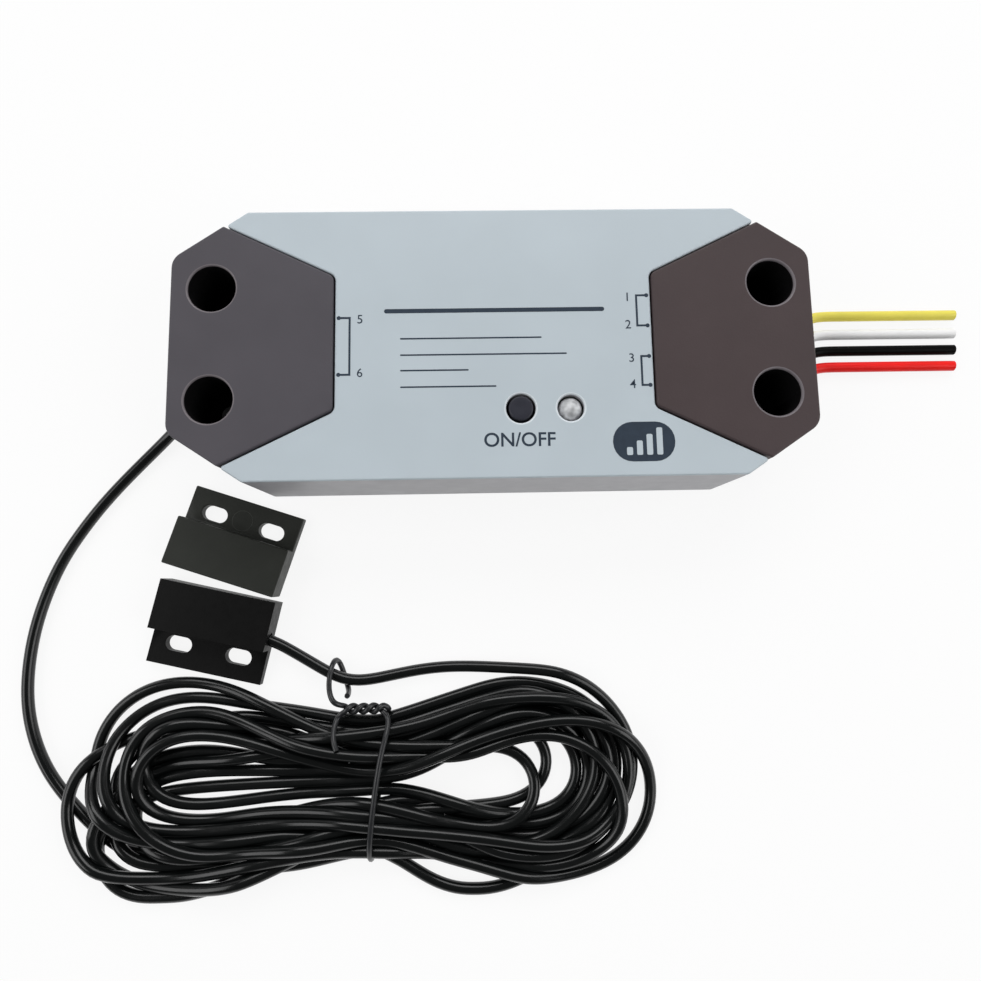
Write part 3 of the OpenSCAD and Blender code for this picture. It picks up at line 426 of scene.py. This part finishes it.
hank = {
    "centre": (-27.5, -90.7),
    "right": [  # each right bend: reach, top, low, level
        (38, 13, -5, 1), (44.5, 13, -9, 2), (46.5, 16, -11, 0.8), (51, 18, -13, 0.8), (50, 16, -14, 0.6),
        (48.5, 19.5, -12, 3), (35.2, 8.6, -9.6, 4), (53, 20.5, -14, 4), (56, 17.8, -12.5, 6), (53, 11, -18, 7),
        (60.4, 14.3, -20, 8), (56, 23.6, -16, 5)],
    "left": [
        (-48.5, 15, -3.2, 5), (-57.5, -1, -25, 3.4), (-51, 3, -13.4, 0.8), (-55.5, 7, -17, 0.8),
        (-57.5, 4.2, -21.8, 4.2), (-53.5, 13.6, -10.8, 3.4), (-59.5, 23.4, -12, 4.2), (-56, 19.5, -9.5, 5),
        (-64, 12, -18, 4.8), (-52, 16.2, -12, 8), (-49, 12.6, -7.2, 6.4)],
    "upper": [  # at the waist: place across, layer
        (4.8, 0), (1.8, 0), (3.4, 1), (5.6, 0), (7.4, 0), (10.2, 0), (7.4, 1), (12.8, 0), (10.2, 1), (4.8, 1),
        (2.2, 1)],
    "lower": [
        (-5.6, 0), (-0.5, 0), (-2.6, 0), (-7.2, 0.6), (-13.2, 0), (-10.8, 0), (-3, 1), (-8.3, 0), (-7, 1), (-11.5, 1),
        (-9.5, 1), (-4.6, 1)],
    "leadLow": -14,
    "stray": 4,  # this loop slips out under the right bend
    "strayPath": [(9, -18.5), (16, -23.8), (24, -24.3), (31, -20.5)],
    "rise": 0.95,
    "layer": 2.4,
    "tieRoom": 1.25,
    "leftStep": -17,  # beside the waist, where a loop fans out
    "rightStep": 16,
    "ease": 0.6,
    "bendBack": 1.12,  # a bend's centre, length and width, as shares of half its opening
    "bendLength": 1.19,
    "bendWidth": 1.05,
    "bendAngles": (-90, -50, -15, 15, 50, 90),
}
settling = {
    "rounds": 440,
    "searchEvery": 6,
    "searchMargin": 1.2,
    "skipAlong": 7,  # nearer points of the cord itself don't count as contact
    "weight": 0.05,
    "lateWeight": 0.015,
    "lateFrom": 0.8,
    "stiffness": 0.06,
    "stiffPasses": 6,
    "grip": 0.01,
    "passes": 3,
    "stretchShare": 0.25,
    "contactShare": 0.5,
    "lift": 2.4,  # cords that cross ride up sooner than they part
    "tieShift": 0.2,
    "tieHalf": 3,  # the tie draws the waist in over this half length
    "tieFade": 12,
    "waistSlack": 2,
    "waistTop": 13.3,
    "waistBottom": 13.4,
    "frontLimit": -112.75,
}


def bendOf(coil, side, reach, top, low, up, angles):
    half = (top - low) / 2
    x, y = reach - side * coil["bendBack"] * half, (top + low) / 2
    length, width = coil["bendLength"] * half, coil["bendWidth"] * half
    turns = [math.radians(angle) for angle in angles]
    return [(x + length * math.cos(a), y + width * math.sin(a), up) for a in turns]


def layHank(cord, coil):
    radius, ease = cord["diameter"] / 2, coil["ease"]
    leftAngles = [180 - angle for angle in reversed(coil["bendAngles"])]
    points = [np.array(p, float) for p in cord["lead"]]
    before, last = coil["leadLow"], len(coil["right"]) - 1

    def atWaist(layer):
        return radius + coil["tieRoom"] + coil["layer"] * layer

    def between(waist, bend):
        return ease * waist + (1 - ease) * bend

    for k, (reach, top, low, level) in enumerate(coil["right"]):
        down, layer = coil["lower"][k]
        bendUp, waistUp = radius + coil["rise"] * level, atWaist(layer)
        angles = coil["bendAngles"]
        ring = [(coil["leftStep"], between(down, before), waistUp), (0, down, waistUp)]
        if k == coil["stray"]:
            ring += [(x, y, radius) for x, y in coil["strayPath"]]
            angles = angles[1:]
        else:
            ring.append((coil["rightStep"], between(down, low), (waistUp + bendUp) / 2))
        if k == last:
            angles = angles[:-1]  # leaves for the tail
        ring += bendOf(coil, 1, reach, top, low, bendUp, angles)
        if k < last:
            up, layer = coil["upper"][k]
            reach, leftTop, before, level = coil["left"][k]
            leftUp, waistUp = radius + coil["rise"] * level, atWaist(layer)
            ring += [(coil["rightStep"], between(up, top), (waistUp + bendUp) / 2), (0, up, waistUp),
                     (coil["leftStep"], between(up, leftTop), (waistUp + leftUp) / 2)]
            ring += bendOf(coil, -1, reach, leftTop, before, leftUp, leftAngles)
        points += [np.array((coil["centre"][0] + x, coil["centre"][1] + y, z)) for x, y, z in ring]
    points += [np.array(p, float) for p in cord["tail"]]
    return evenSteps(smoothRoute(points, 24), cord["step"])


def settleHank(cord, coil, rule):
    spots, length = layHank(cord, coil)
    count, diameter = len(spots), cord["diameter"]
    radius, step = diameter / 2, length / (count - 1)
    rest = spots.copy()
    held = np.zeros(count, bool)
    held[:int(cord["leadHeld"] / step)] = True
    held[-int(cord["tailHeld"] / step):] = True
    lean = np.array((1, 1, rule["lift"]))
    middle = coil["centre"][0] + rule["tieShift"]
    low, high = coil["centre"][1] - rule["waistBottom"], coil["centre"][1] + rule["waistTop"]
    late = rule["lateFrom"] * rule["rounds"]
    for turn in range(rule["rounds"]):
        if turn % rule["searchEvery"] == 0:
            apart = np.linalg.norm(spots[:, None, :] - spots[None, :, :], axis=2)
            first, second = np.nonzero(apart < diameter + rule["searchMargin"])
            far = second - first > rule["skipAlong"]
            first, second = first[far], second[far]
        spots[:, 2] -= rule["weight"] if turn < late else rule["lateWeight"]
        for _ in range(rule["stiffPasses"]):  # evens out the curvature
            bent = 4 * spots[1:-3] + 4 * spots[3:-1] - spots[:-4] - spots[4:] - 6 * spots[2:-2]
            spots[2:-2] += rule["stiffness"] * bent
        spots[:, :2] += rule["grip"] * (rest[:, :2] - spots[:, :2])
        for _ in range(rule["passes"]):
            for odd in (0, 1):  # length
                a = np.arange(odd, count - 1, 2)
                way = spots[a + 1] - spots[a]
                size = np.linalg.norm(way, axis=1)[:, None]
                shift = rule["stretchShare"] * (size - step) / size * way
                spots[a] += shift
                spots[a + 1] -= shift
            way = spots[first] - spots[second]  # contact
            size = np.linalg.norm(way, axis=1)
            hit = size < diameter
            a, b = first[hit], second[hit]
            push = way[hit] * lean
            push /= np.maximum(np.linalg.norm(push, axis=1), 1e-6)[:, None]
            shift = rule["contactShare"] * (diameter - size[hit])[:, None] * push
            move, hits = np.zeros_like(spots), np.zeros(count)
            np.add.at(move, a, shift)
            np.add.at(move, b, -shift)
            np.add.at(hits, a, 1)
            np.add.at(hits, b, 1)
            spots += move / np.maximum(hits, 1)[:, None]
            along = np.abs(spots[:, 0] - middle)  # the tie draws the waist in
            near = along < rule["tieHalf"]
            spots[near, 1] = np.clip(spots[near, 1], low, high)
            away = along / rule["tieFade"]
            inside = (spots[:, 1] > low - rule["waistSlack"]) & (spots[:, 1] < high + rule["waistSlack"])
            ground = radius + np.where(inside, coil["tieRoom"] * np.clip(1 - away**2, 0, 1), 0)
            spots[:, 2] = np.maximum(spots[:, 2], ground)
            spots[:, 1] = np.maximum(spots[:, 1], rule["frontLimit"])
            spots[held] = rest[held]
    return spots


cordSpots = settleHank(sensorCord, hank, settling)
sensorCable = roundCable("sensorCable", cordSpots * mm, sensorCord["diameter"] * mm, "cordJacket", "controller",
                         ["sensor_lead", "sensor_hank", "sensor_tail"])


# tie wire: hook, twisted pair, ring drawn tight round the waist and loop round the tail
tieWire = {
    "diameter": 1.2,
    "corner": (-65, -28),
    "crossing": -26.0,  # where the ring lies along the hank
    "twistFrom": (40.4, -46.5),
    "twistLength": 8.8,
    "twistRadius": 0.75,
    "twistTurns": 2,
    "twistSteps": 16,
    "pairRise": 0.9,
    "coversAlong": 3.5,  # the cords that lift the ring lie within these distances
    "coversAcross": 17,
    "hook": [(31, -54.4, 0), (30.2, -52.6, 0), (30, -50.4, 0.2), (30.4, -48.4, 0.7)],  # above the cords
    "down": [(41.6, -48.6, 0.8), (41.4, -51, 0.1), (40.4, -54.5, 0), (39.4, -60, 0), (38.6, -66, 0), (37.9, -72, 0),
             (37.5, -76, 0), (37.5, -77.45, -0.55), (37.5, -77.98, -1.8)],
    "under": [(37.55, -77.6, 1.25), (37.8, -76, 0.65), (38.2, -71, 0.65), (38.8, -64, 0.65), (39.4, -57, 0.65),
              (40, -50, 0.65), (40.4, -48.3, 0.75), (40.8, -47.5, 1.8), (41.2, -47.1, 3.4), (41.6, -46.6, 4.8)],
    "loop": [(30, -45.2, 6.4), (29, -43.6, 5.7), (28.6, -41.4, 5.1), (28.8, -38.8, 4.7), (29.2, -36.9, 3.6),
             (29.6, -36.3, 1.9), (30.2, -37.2, 0.65), (31, -39.4, 0.65), (31.8, -41.8, 0.65), (32.4, -43.2, 1.8),
             (32.6, -43.6, 3.6), (32.6, -43.8, 5.2)],
}


def tautOver(tie, spots, lift):
    near = spots[(np.abs(spots[:, 0] - tie["crossing"]) < tie["coversAlong"])
                 & (np.abs(spots[:, 1] - hank["centre"][1]) < tie["coversAcross"])]
    hull = []
    for y, z in sorted((p[1] - tie["corner"][1], p[2] + lift) for p in near):
        while len(hull) > 1 and ((hull[-1][0] - hull[-2][0]) * (z - hull[-2][1])
                                 >= (hull[-1][1] - hull[-2][1]) * (y - hull[-2][0])):
            hull.pop()
        hull.append((y, z))
    return np.array(hull).T


def tieRoute(tie, spots, lift):
    x0, y0 = tie["corner"]
    over = tautOver(tie, spots, lift)
    steps = tie["twistSteps"]
    pairHeight = np.interp(tie["twistFrom"][1], *over) + tie["pairRise"]

    def above(places):
        return [(x, y, np.interp(y, *over) + z) for x, y, z in places]

    def pair(phase, order):
        made = []
        for i in order:
            a = math.radians(360 * tie["twistTurns"] * i / steps + phase)
            made.append((tie["twistFrom"][0] - tie["twistLength"] * i / steps,
                         tie["twistFrom"][1] + tie["twistRadius"] * math.cos(a),
                         pairHeight + tie["twistRadius"] * math.sin(a)))
        return made

    route = above(tie["hook"]) + pair(180, range(steps, -1, -1)) + above(tie["down"]) + tie["under"]
    route += pair(0, range(steps + 1)) + tie["loop"]
    print("tie: pair at", round(float(pairHeight), 2), "mm")
    return [np.array((x0 + x, y0 + y, z)) for x, y, z in route]


tieSpots = smoothRoute(tieRoute(tieWire, cordSpots, (sensorCord["diameter"] + tieWire["diameter"]) / 2), 3)
hankTie = roundCable("hankTie", tieSpots * mm, tieWire["diameter"] * mm, "tieSheath", "controller", ["hank_tie"],
                     2)


# the four connecting leads, from their terminals to their cut ends
leads = {
    "diameter": 2.4,
    "pitch": 3.81,
    "entryHeight": 10,
    "exitHeight": 5,
    "exitX": 65,
    "rest": 1.22,
    "colours": [  # name, node, place across the floor, reach, finish, slot
        ("yellowLead", "yellow_lead", 12.8, 45.2, "yellowSheath", "yellow_sheath"),
        ("whiteLead", "white_lead", 8.3, 44.7, "whiteSheath", "white_sheath"),
        ("blackLead", "black_lead", 4.3, 44.3, "blackSheath", "black_sheath"),
        ("redLead", "red_lead", 0.4, 43.9, "redSheath", "red_sheath"),
    ],
    "strandRadius": 0.19,
    "strandRing": 0.4,
    "strandLength": 1.0,
    "strandEdge": 0.04,
    "coreStub": 0.05,
    "exitPoint": 7,  # the point of the route at the casing's end
}


def leadRoute(settings, index):
    y = settings["pitch"] * (1.5 - index)
    s, tip = settings["colours"][index][2] - y, settings["colours"][index][3]
    top, out, low, x = settings["entryHeight"], settings["exitHeight"], settings["rest"], settings["exitX"]
    return np.array([
        (43, y, top), (46, y, top), (48.5, y, top - 0.5), (51, y, top - 2.2), (54, y, out + 1), (59, y, out + 0.1),
        (62, y, out), (x + 0.5, y, out), (x + 3, y + 0.06 * s, out - 0.5), (x + 5, y + 0.24 * s, out - 1.4),
        (x + 7, y + 0.52 * s, out - 2.4), (x + 9, y + 0.79 * s, low + 0.6), (x + 11, y + 0.95 * s, low + 0.15),
        *((x + along, y + s, low) for along in (13.5, 17, 22, 29, 37, tip))])


def strandEnd(settings, index):
    bm = bmesh.new()
    end = leadRoute(settings, index)[-1] * mm
    ring, inset = settings["strandRing"], settings["coreStub"] - settings["strandLength"] / 2
    sixths = [math.radians(60 * k) for k in range(6)]
    for y, z in [(0, 0)] + [(ring * math.cos(a), ring * math.sin(a)) for a in sixths]:  # seven strands, cut square
        place = Matrix.Translation(end + np.array((inset, y, z)) * mm) @ Matrix.Rotation(math.pi / 2, 4, "Y")
        made = bmesh.ops.create_cone(bm, cap_ends=True, segments=10, radius1=settings["strandRadius"] * mm,
                                     radius2=settings["strandRadius"] * mm, depth=settings["strandLength"] * mm,
                                     matrix=place)
        rims = [e for e in {e for v in made["verts"] for e in v.link_edges} if e.calc_face_angle(0) > 1]
        bmesh.ops.bevel(bm, geom=rims, offset=settings["strandEdge"] * mm, segments=1, profile=0.5, affect="EDGES",
                        material=-1)
    return bm


for index, (name, node, _, _, finish, slot) in enumerate(leads["colours"]):
    route = leadRoute(leads, index)
    spots = smoothRoute(list(route), 4) * mm
    cable = roundCable(name, spots, leads["diameter"] * mm, finish, "controller", [node])
    core = fromBmesh(name + "Core", strandEnd(leads, index), "copperCore", "controller")


# moulded pieces: the CAD shapes with their edges broken as a mould leaves them
casing = {
    "coverTop": 24.0, "capTop": 24.4, "coverEdge": 0.4, "capEdge": 0.45, "trayEdge": 0.5, "halfEdge": 0.3,
    "near": 0.05,
    "halfFoot": 0.3,  # the sensor halves keep their lowest edges sharp
    "trayRim": (60, 26, 76),  # the tray's outer edge lies past these: along, across, sum
    "weld": 1e-6, "sliver": 2e-7,  # in metres
    "flatAngle": 0.5, "sharpAngle": 35,
    "wells": [(-56.75, -11.5), (-56.75, 11.5), (56.75, -11.5), (56.75, 11.5)],
    "wellRadius": 4.8,
    "holes": [(5.1, -14), (15.1, -14)],
    "holeRadius": 3.0,
}


def edgeBroken(name, node, finish, body, width, shown, paintedLightZone=None, segments=3):
    bm = bmesh.new()
    bm.from_mesh(nodes[node].data)
    bmesh.ops.remove_doubles(bm, verts=bm.verts, dist=casing["weld"])
    bmesh.ops.dissolve_limit(bm, angle_limit=math.radians(casing["flatAngle"]), verts=bm.verts, edges=bm.edges)
    sharp = math.radians(casing["sharpAngle"])
    edges = [e for e in bm.edges if len(e.link_faces) == 2 and e.calc_face_angle(0) > sharp
             and e.is_convex and shown((e.verts[0].co + e.verts[1].co) / 2)]
    made = bmesh.ops.bevel(bm, geom=edges, offset=width * mm, offset_type="OFFSET", segments=segments, profile=0.5,
                           affect="EDGES", clamp_overlap=True, material=-1)
    rims, extra = set(made["faces"]), []
    # faces picked here get painted light: lighter copies on rims as painted highlight, darker copies on walls and in
    # wells as painted shade
    for face in bm.faces if paintedLightZone else ():
        kind = paintedLightZone(face.calc_center_median() / mm, face.normal, face in rims)
        if kind and kind not in extra:
            extra.append(kind)
        face.material_index = extra.index(kind) + 1 if kind else 0
    bmesh.ops.dissolve_degenerate(bm, dist=casing["sliver"], edges=bm.edges)
    piece = fromBmesh(name, bm, finish, body, [node])
    for kind in extra:
        piece.data.materials.append(finishes[kind])
    weighted = piece.modifiers.new("flatFaces", "WEIGHTED_NORMAL")
    weighted.keep_sharp = True
    return piece


def nearest(spot, places):
    return min(math.hypot(spot.x - x, spot.y - y) for x, y in places)


def coverZone(spot, normal, rim):
    # the chamfers round the button and lamp holes get the lighter copy: painted highlight
    if rim and nearest(spot, casing["holes"]) < casing["holeRadius"] + casing["coverEdge"]:
        return "holeRimHighlight"
    # upright faces of the cover, away from the hole rims, get the darker copy: painted shade
    shadedSide = abs(normal.z) < 0.2
    return "shadedWallPlastic" if shadedSide and not rim else None


def capZone(spot, normal, rim):
    off = nearest(spot, casing["wells"])
    # the chamfers round the wells get the lighter copy: painted highlight
    if rim and off < casing["wellRadius"] + casing["capEdge"]:
        return "wellRimHighlight"
    # the wells' inner walls get the near black: painted shade
    return "wellPaintedShade" if off < casing["wellRadius"] + casing["near"] else None


def higherThan(height):
    return lambda p: p.z > height * mm


def trayFoot(p):
    along, across, both = casing["trayRim"]
    outer = abs(p.x) > along * mm or abs(p.y) > across * mm or abs(p.x) + abs(p.y) > both * mm
    return p.z < casing["near"] * mm and outer


edgeBroken("coverShell", "top_cover", "coverPlastic", "controller", casing["coverEdge"],
           higherThan(casing["coverTop"] - casing["near"]), coverZone)
# the tray takes the darker copy all over: painted shade on the lower walls
edgeBroken("traySkin", "base_tray", "shadedWallPlastic", "controller", casing["trayEdge"], trayFoot)
for side in ("left", "right"):
    # the left cap takes the lit copy, the right cap the shaded copy: painted light
    edgeBroken(side + "Cap", side + "_end_cap", side + "CapPaintedLightPlastic", "controller", casing["capEdge"],
               higherThan(casing["capTop"] - casing["near"]), capZone)
edgeBroken("reedShell", "reed_housing", "reedPlastic", "controller", casing["halfEdge"],
           higherThan(casing["halfFoot"]))
edgeBroken("magnetShell", "magnet_housing", "sensorPlastic", "magnet_half", casing["halfEdge"],
           higherThan(casing["halfFoot"]))
print("moulded pieces ready")


# push button: crowned cap on its flange, turned about its own axis
button = {"at": (5.1, -14.0), "radius": 2.45, "top": 24.2, "dish": 0.08, "edge": 0.32, "flangeRadius": 3.9,
          "flangeTop": 19.85, "flangeLow": 18.65, "stemRadius": 1.6, "stemLow": 12.0}


def turned(profile, at, steps=64):
    bm = bmesh.new()
    verts = [bm.verts.new((at[0] * mm + r * mm, at[1] * mm, z * mm)) for r, z in profile]
    edges = [bm.edges.new(pair) for pair in zip(verts, verts[1:])]
    bmesh.ops.spin(bm, geom=verts + edges, cent=(at[0] * mm, at[1] * mm, 0), axis=(0, 0, 1), angle=2 * math.pi,
                   steps=steps, use_merge=True)
    bmesh.ops.remove_doubles(bm, verts=bm.verts, dist=1e-7)
    bmesh.ops.recalc_face_normals(bm, faces=bm.faces)
    return bm


def buttonProfile(b):
    arc = [math.radians(q) for q in (0, 22, 45, 68, 90)]
    rim = [(b["radius"] - b["edge"] * (1 - math.sin(a)), b["top"] - b["edge"] * (1 - math.cos(a))) for a in arc]
    return [(0, b["top"] - b["dish"]), (b["radius"] * 0.45, b["top"] - 0.75 * b["dish"]), *rim,
            (b["radius"], b["flangeTop"]), (b["flangeRadius"], b["flangeTop"]), (b["flangeRadius"], b["flangeLow"]),
            (b["stemRadius"], b["flangeLow"]), (b["stemRadius"], b["stemLow"]), (0, b["stemLow"])]


fromBmesh("pushButton", turned(buttonProfile(button), button["at"]), "buttonPlastic", "button", ["button_cap"])


# lamp: clear domed lens over a pale reflector cup
lamp = {"at": (15.1, -14.0), "radius": 2.5, "tip": 24.2, "base": 16.0, "flangeRadius": 2.9, "flange": 1.0,
        "cupRadius": 1.9, "cupTop": 22.2, "cupStep": 21.3, "cupLow": 20.6, "cupFoot": 17.2}


def lensProfile(s):
    shoulder = s["tip"] - s["radius"]
    dome = [(s["radius"] * math.sin(math.radians(q)), shoulder + s["radius"] * math.cos(math.radians(q)))
            for q in range(0, 91, 9)]
    return [*dome, (s["radius"], s["base"] + s["flange"]), (s["flangeRadius"], s["base"] + s["flange"]),
            (s["flangeRadius"], s["base"]), (0, s["base"])]


def cupProfile(s):
    outer, inner = s["cupRadius"], s["cupRadius"] * 0.9
    return [(0, s["cupLow"]), (outer * 0.35, s["cupLow"]), (outer * 0.75, s["cupStep"]), (outer, s["cupTop"]),
            (inner, s["cupTop"]), (inner, s["cupFoot"]), (0, s["cupFoot"])]


fromBmesh("lampLens", turned(lensProfile(lamp), lamp["at"]), "clearLens", "controller", ["lamp_lens"])
fromBmesh("lampCup", turned(cupProfile(lamp), lamp["at"]), "lampCup", "controller")
print("button and lamp ready")


# ejector mark on the magnet's flange: a low ring left by the mould
ejectorMark = {"at": (-56.57, -33.57), "radius": 2.4, "width": 0.26, "slope": 0.06, "flangeTop": 2.2, "proud": 0.05,
               "sunk": 0.04}


def markProfile(m):
    inner, outer, slope = m["radius"] - m["width"], m["radius"], m["slope"]
    high, low = m["flangeTop"] + m["proud"], m["flangeTop"] - m["sunk"]
    return [(inner, low), (inner + slope, high), (outer - slope, high), (outer, low), (inner, low)]


# the ejector ring takes the lighter copy: painted highlight
fromBmesh("ejectorRing", turned(markProfile(ejectorMark), ejectorMark["at"]), "markHighlightPlastic", "magnet_half")


# print on the cover: switch word, plain numbers, brackets, rules and a bar plate, a hair above the plastic
coverPrint = {
    "low": 23.99,
    "high": 24.02,
    "dotHigh": 24.022,
    "barHigh": 24.03,
    "wordWeight": 0.012,
    "digitWeight": 0.004,  # a heavier digit would cross itself in its notch
    "words": [  # text and the box that it fills: left, low, right, top
        ("ON/OFF", (-2.4, -21.75, 11.9, -18.9)),
        ("1", (26.9, 8.0, 27.7, 9.8)), ("2", (26.6, 2.2, 27.9, 4.0)), ("3", (27.0, -4.8, 28.3, -3.0)),
        ("4", (27.0, -10.2, 28.4, -8.4)), ("5", (-27.6, 3.9, -26.3, 5.7)), ("6", (-27.6, -7.2, -26.3, -5.4))],
    "rules": [  # left, right, height across, thickness
        (-22.1, 22.5, 6.4, 0.9), (-18.9, 9.6, 0.6, 0.32), (-18.9, 14.6, -2.8, 0.32), (-18.9, -5.2, -6.0, 0.32),
        (-18.9, 0.3, -9.4, 0.32)],
    "brackets": [(31.2, 28.9, 2.6, 9.4), (31.2, 29.4, -9.8, -3.4), (-31.2, -28.8, -6.9, 5.3)],  # dots, back, low, top
    "line": 0.42,
    "dotRadius": 0.42,
    "plate": (23.2, -25.1, 35.6, -17.1),
    "plateRadius": 3.9,
    "bars": [(25.9, 1.6), (27.9, 2.9), (29.9, 4.2), (31.9, 5.5)],  # left, height
    "barWidth": 1.2,
    "barFoot": -23.8,
    "barRadius": 0.3,
}


def roundBox(left, low, right, top, radius, steps=6):
    outline = []
    corners = ((right - radius, top - radius), (left + radius, top - radius), (left + radius, low + radius),
               (right - radius, low + radius))
    for k, (x, y) in enumerate(corners):
        for i in range(steps + 1):
            a = math.pi / 2 * (k + i / steps)
            outline.append((x + radius * math.cos(a), y + radius * math.sin(a)))
    return outline


def inkShape(bm, outline, low, high, index=0):
    face = bm.faces.new([bm.verts.new((x * mm, y * mm, low * mm)) for x, y in outline])
    made = bmesh.ops.extrude_face_region(bm, geom=[face])["geom"]
    raised = [v for v in made if isinstance(v, bmesh.types.BMVert)]
    bmesh.ops.translate(bm, verts=raised, vec=(0, 0, (high - low) * mm))
    for f in {f for v in raised for f in v.link_faces}:
        f.material_index = index


def inkWord(bm, text, box, low, high, weight):
    curve = bpy.data.curves.new("inkWord", "FONT")
    curve.body, curve.extrude, curve.offset = text, 0.5, weight
    holder = bpy.data.objects.new("inkWord", curve)
    bpy.context.collection.objects.link(holder)
    bpy.context.view_layer.update()
    mesh = bpy.data.meshes.new_from_object(holder.evaluated_get(bpy.context.evaluated_depsgraph_get()))
    bpy.data.objects.remove(holder)
    bpy.data.curves.remove(curve)
    corners = np.array([v.co for v in mesh.vertices])
    least, most = corners.min(0), corners.max(0)
    size = (box[3] - box[1]) * mm / (most[1] - least[1])
    place = Matrix.Translation(np.array(((box[0] + box[2]) / 2, box[1], low)) * mm)
    place @= Matrix.Diagonal((size, size, (high - low) * mm / (most[2] - least[2]), 1))
    mesh.transform(place @ Matrix.Translation((-(least[0] + most[0]) / 2, -least[1], -least[2])))
    bm.from_mesh(mesh)
    bpy.data.meshes.remove(mesh)


def printMesh(p):
    bm = bmesh.new()
    low, high = p["low"], p["high"]
    for left, right, y, thick in p["rules"]:
        inkShape(bm, roundBox(left, y - thick / 2, right, y + thick / 2, thick * 0.49), low, high)
    for dot, back, bottom, top in p["brackets"]:
        w = p["line"] if dot > back else -p["line"]
        inkShape(bm, [(dot, top), (back, top), (back, bottom), (dot, bottom), (dot, bottom + abs(w)),
                      (back + w, bottom + abs(w)), (back + w, top - abs(w)), (dot, top - abs(w))], low, high)
        for y in (bottom + abs(w) / 2, top - abs(w) / 2):
            r = p["dotRadius"]
            inkShape(bm, roundBox(dot - r, y - r, dot + r, y + r, r * 0.999), low, p["dotHigh"])
    inkShape(bm, roundBox(*p["plate"], p["plateRadius"]), low, high)
    for left, height in p["bars"]:
        bar = roundBox(left, p["barFoot"], left + p["barWidth"], p["barFoot"] + height, p["barRadius"])
        inkShape(bm, bar, low, p["barHigh"], 1)
    for text, box in p["words"]:
        inkWord(bm, text, box, low, high, p["wordWeight"] if len(text) > 1 else p["digitWeight"])
    bmesh.ops.remove_doubles(bm, verts=bm.verts, dist=5e-7)
    bmesh.ops.recalc_face_normals(bm, faces=bm.faces)
    return bm


coverInk = fromBmesh("coverPrint", printMesh(coverPrint), "printInk", "controller", smoothAngle=25)
coverInk.data.materials.append(finishes["coverPlastic"])
print("cover print:", len(coverInk.data.polygons), "faces")


# finishes for the pieces that keep their CAD shape
nodeFinish = {
    "casing_screws": "screwSteel", "board_screws": "screwSteel", "terminal_screws": "screwSteel",
    "main_board": "circuitBoard", "radio_board": "radioLaminate", "radio_shield": "tinnedSteel",
    "relay": "relayCase", "supply_terminals": "terminalGreen", "sensor_terminals": "terminalGreen",
    "smoothing_capacitors": "capacitorSleeve", "power_inductor": "ferrite", "bridge_rectifier": "chipResin",
    "input_fuse": "fuseCase", "opto_coupler": "paleResin", "regulator_chip": "chipResin",
    "switch_body": "chipResin", "switch_plunger": "buttonPlastic", "lamp_spacer": "paleResin",
    "lamp_pins": "tinnedSteel", "lead_block": "blackRubber", "lead_cores": "copperCore",
    "cord_bush": "blackRubber", "sensor_cores": "tinnedSteel", "reed_plate": "reedPlastic",
    "reed_glass": "reedGlass", "reed_blades": "tinnedSteel", "reed_cores": "copperCore",
    "magnet_plate": "sensorPlastic", "bar_magnet": "magnetMetal",
}
for node, finish in nodeFinish.items():
    for slot in nodes[node].material_slots:
        slot.material = finishes[finish]

bpy.context.view_layer.update()
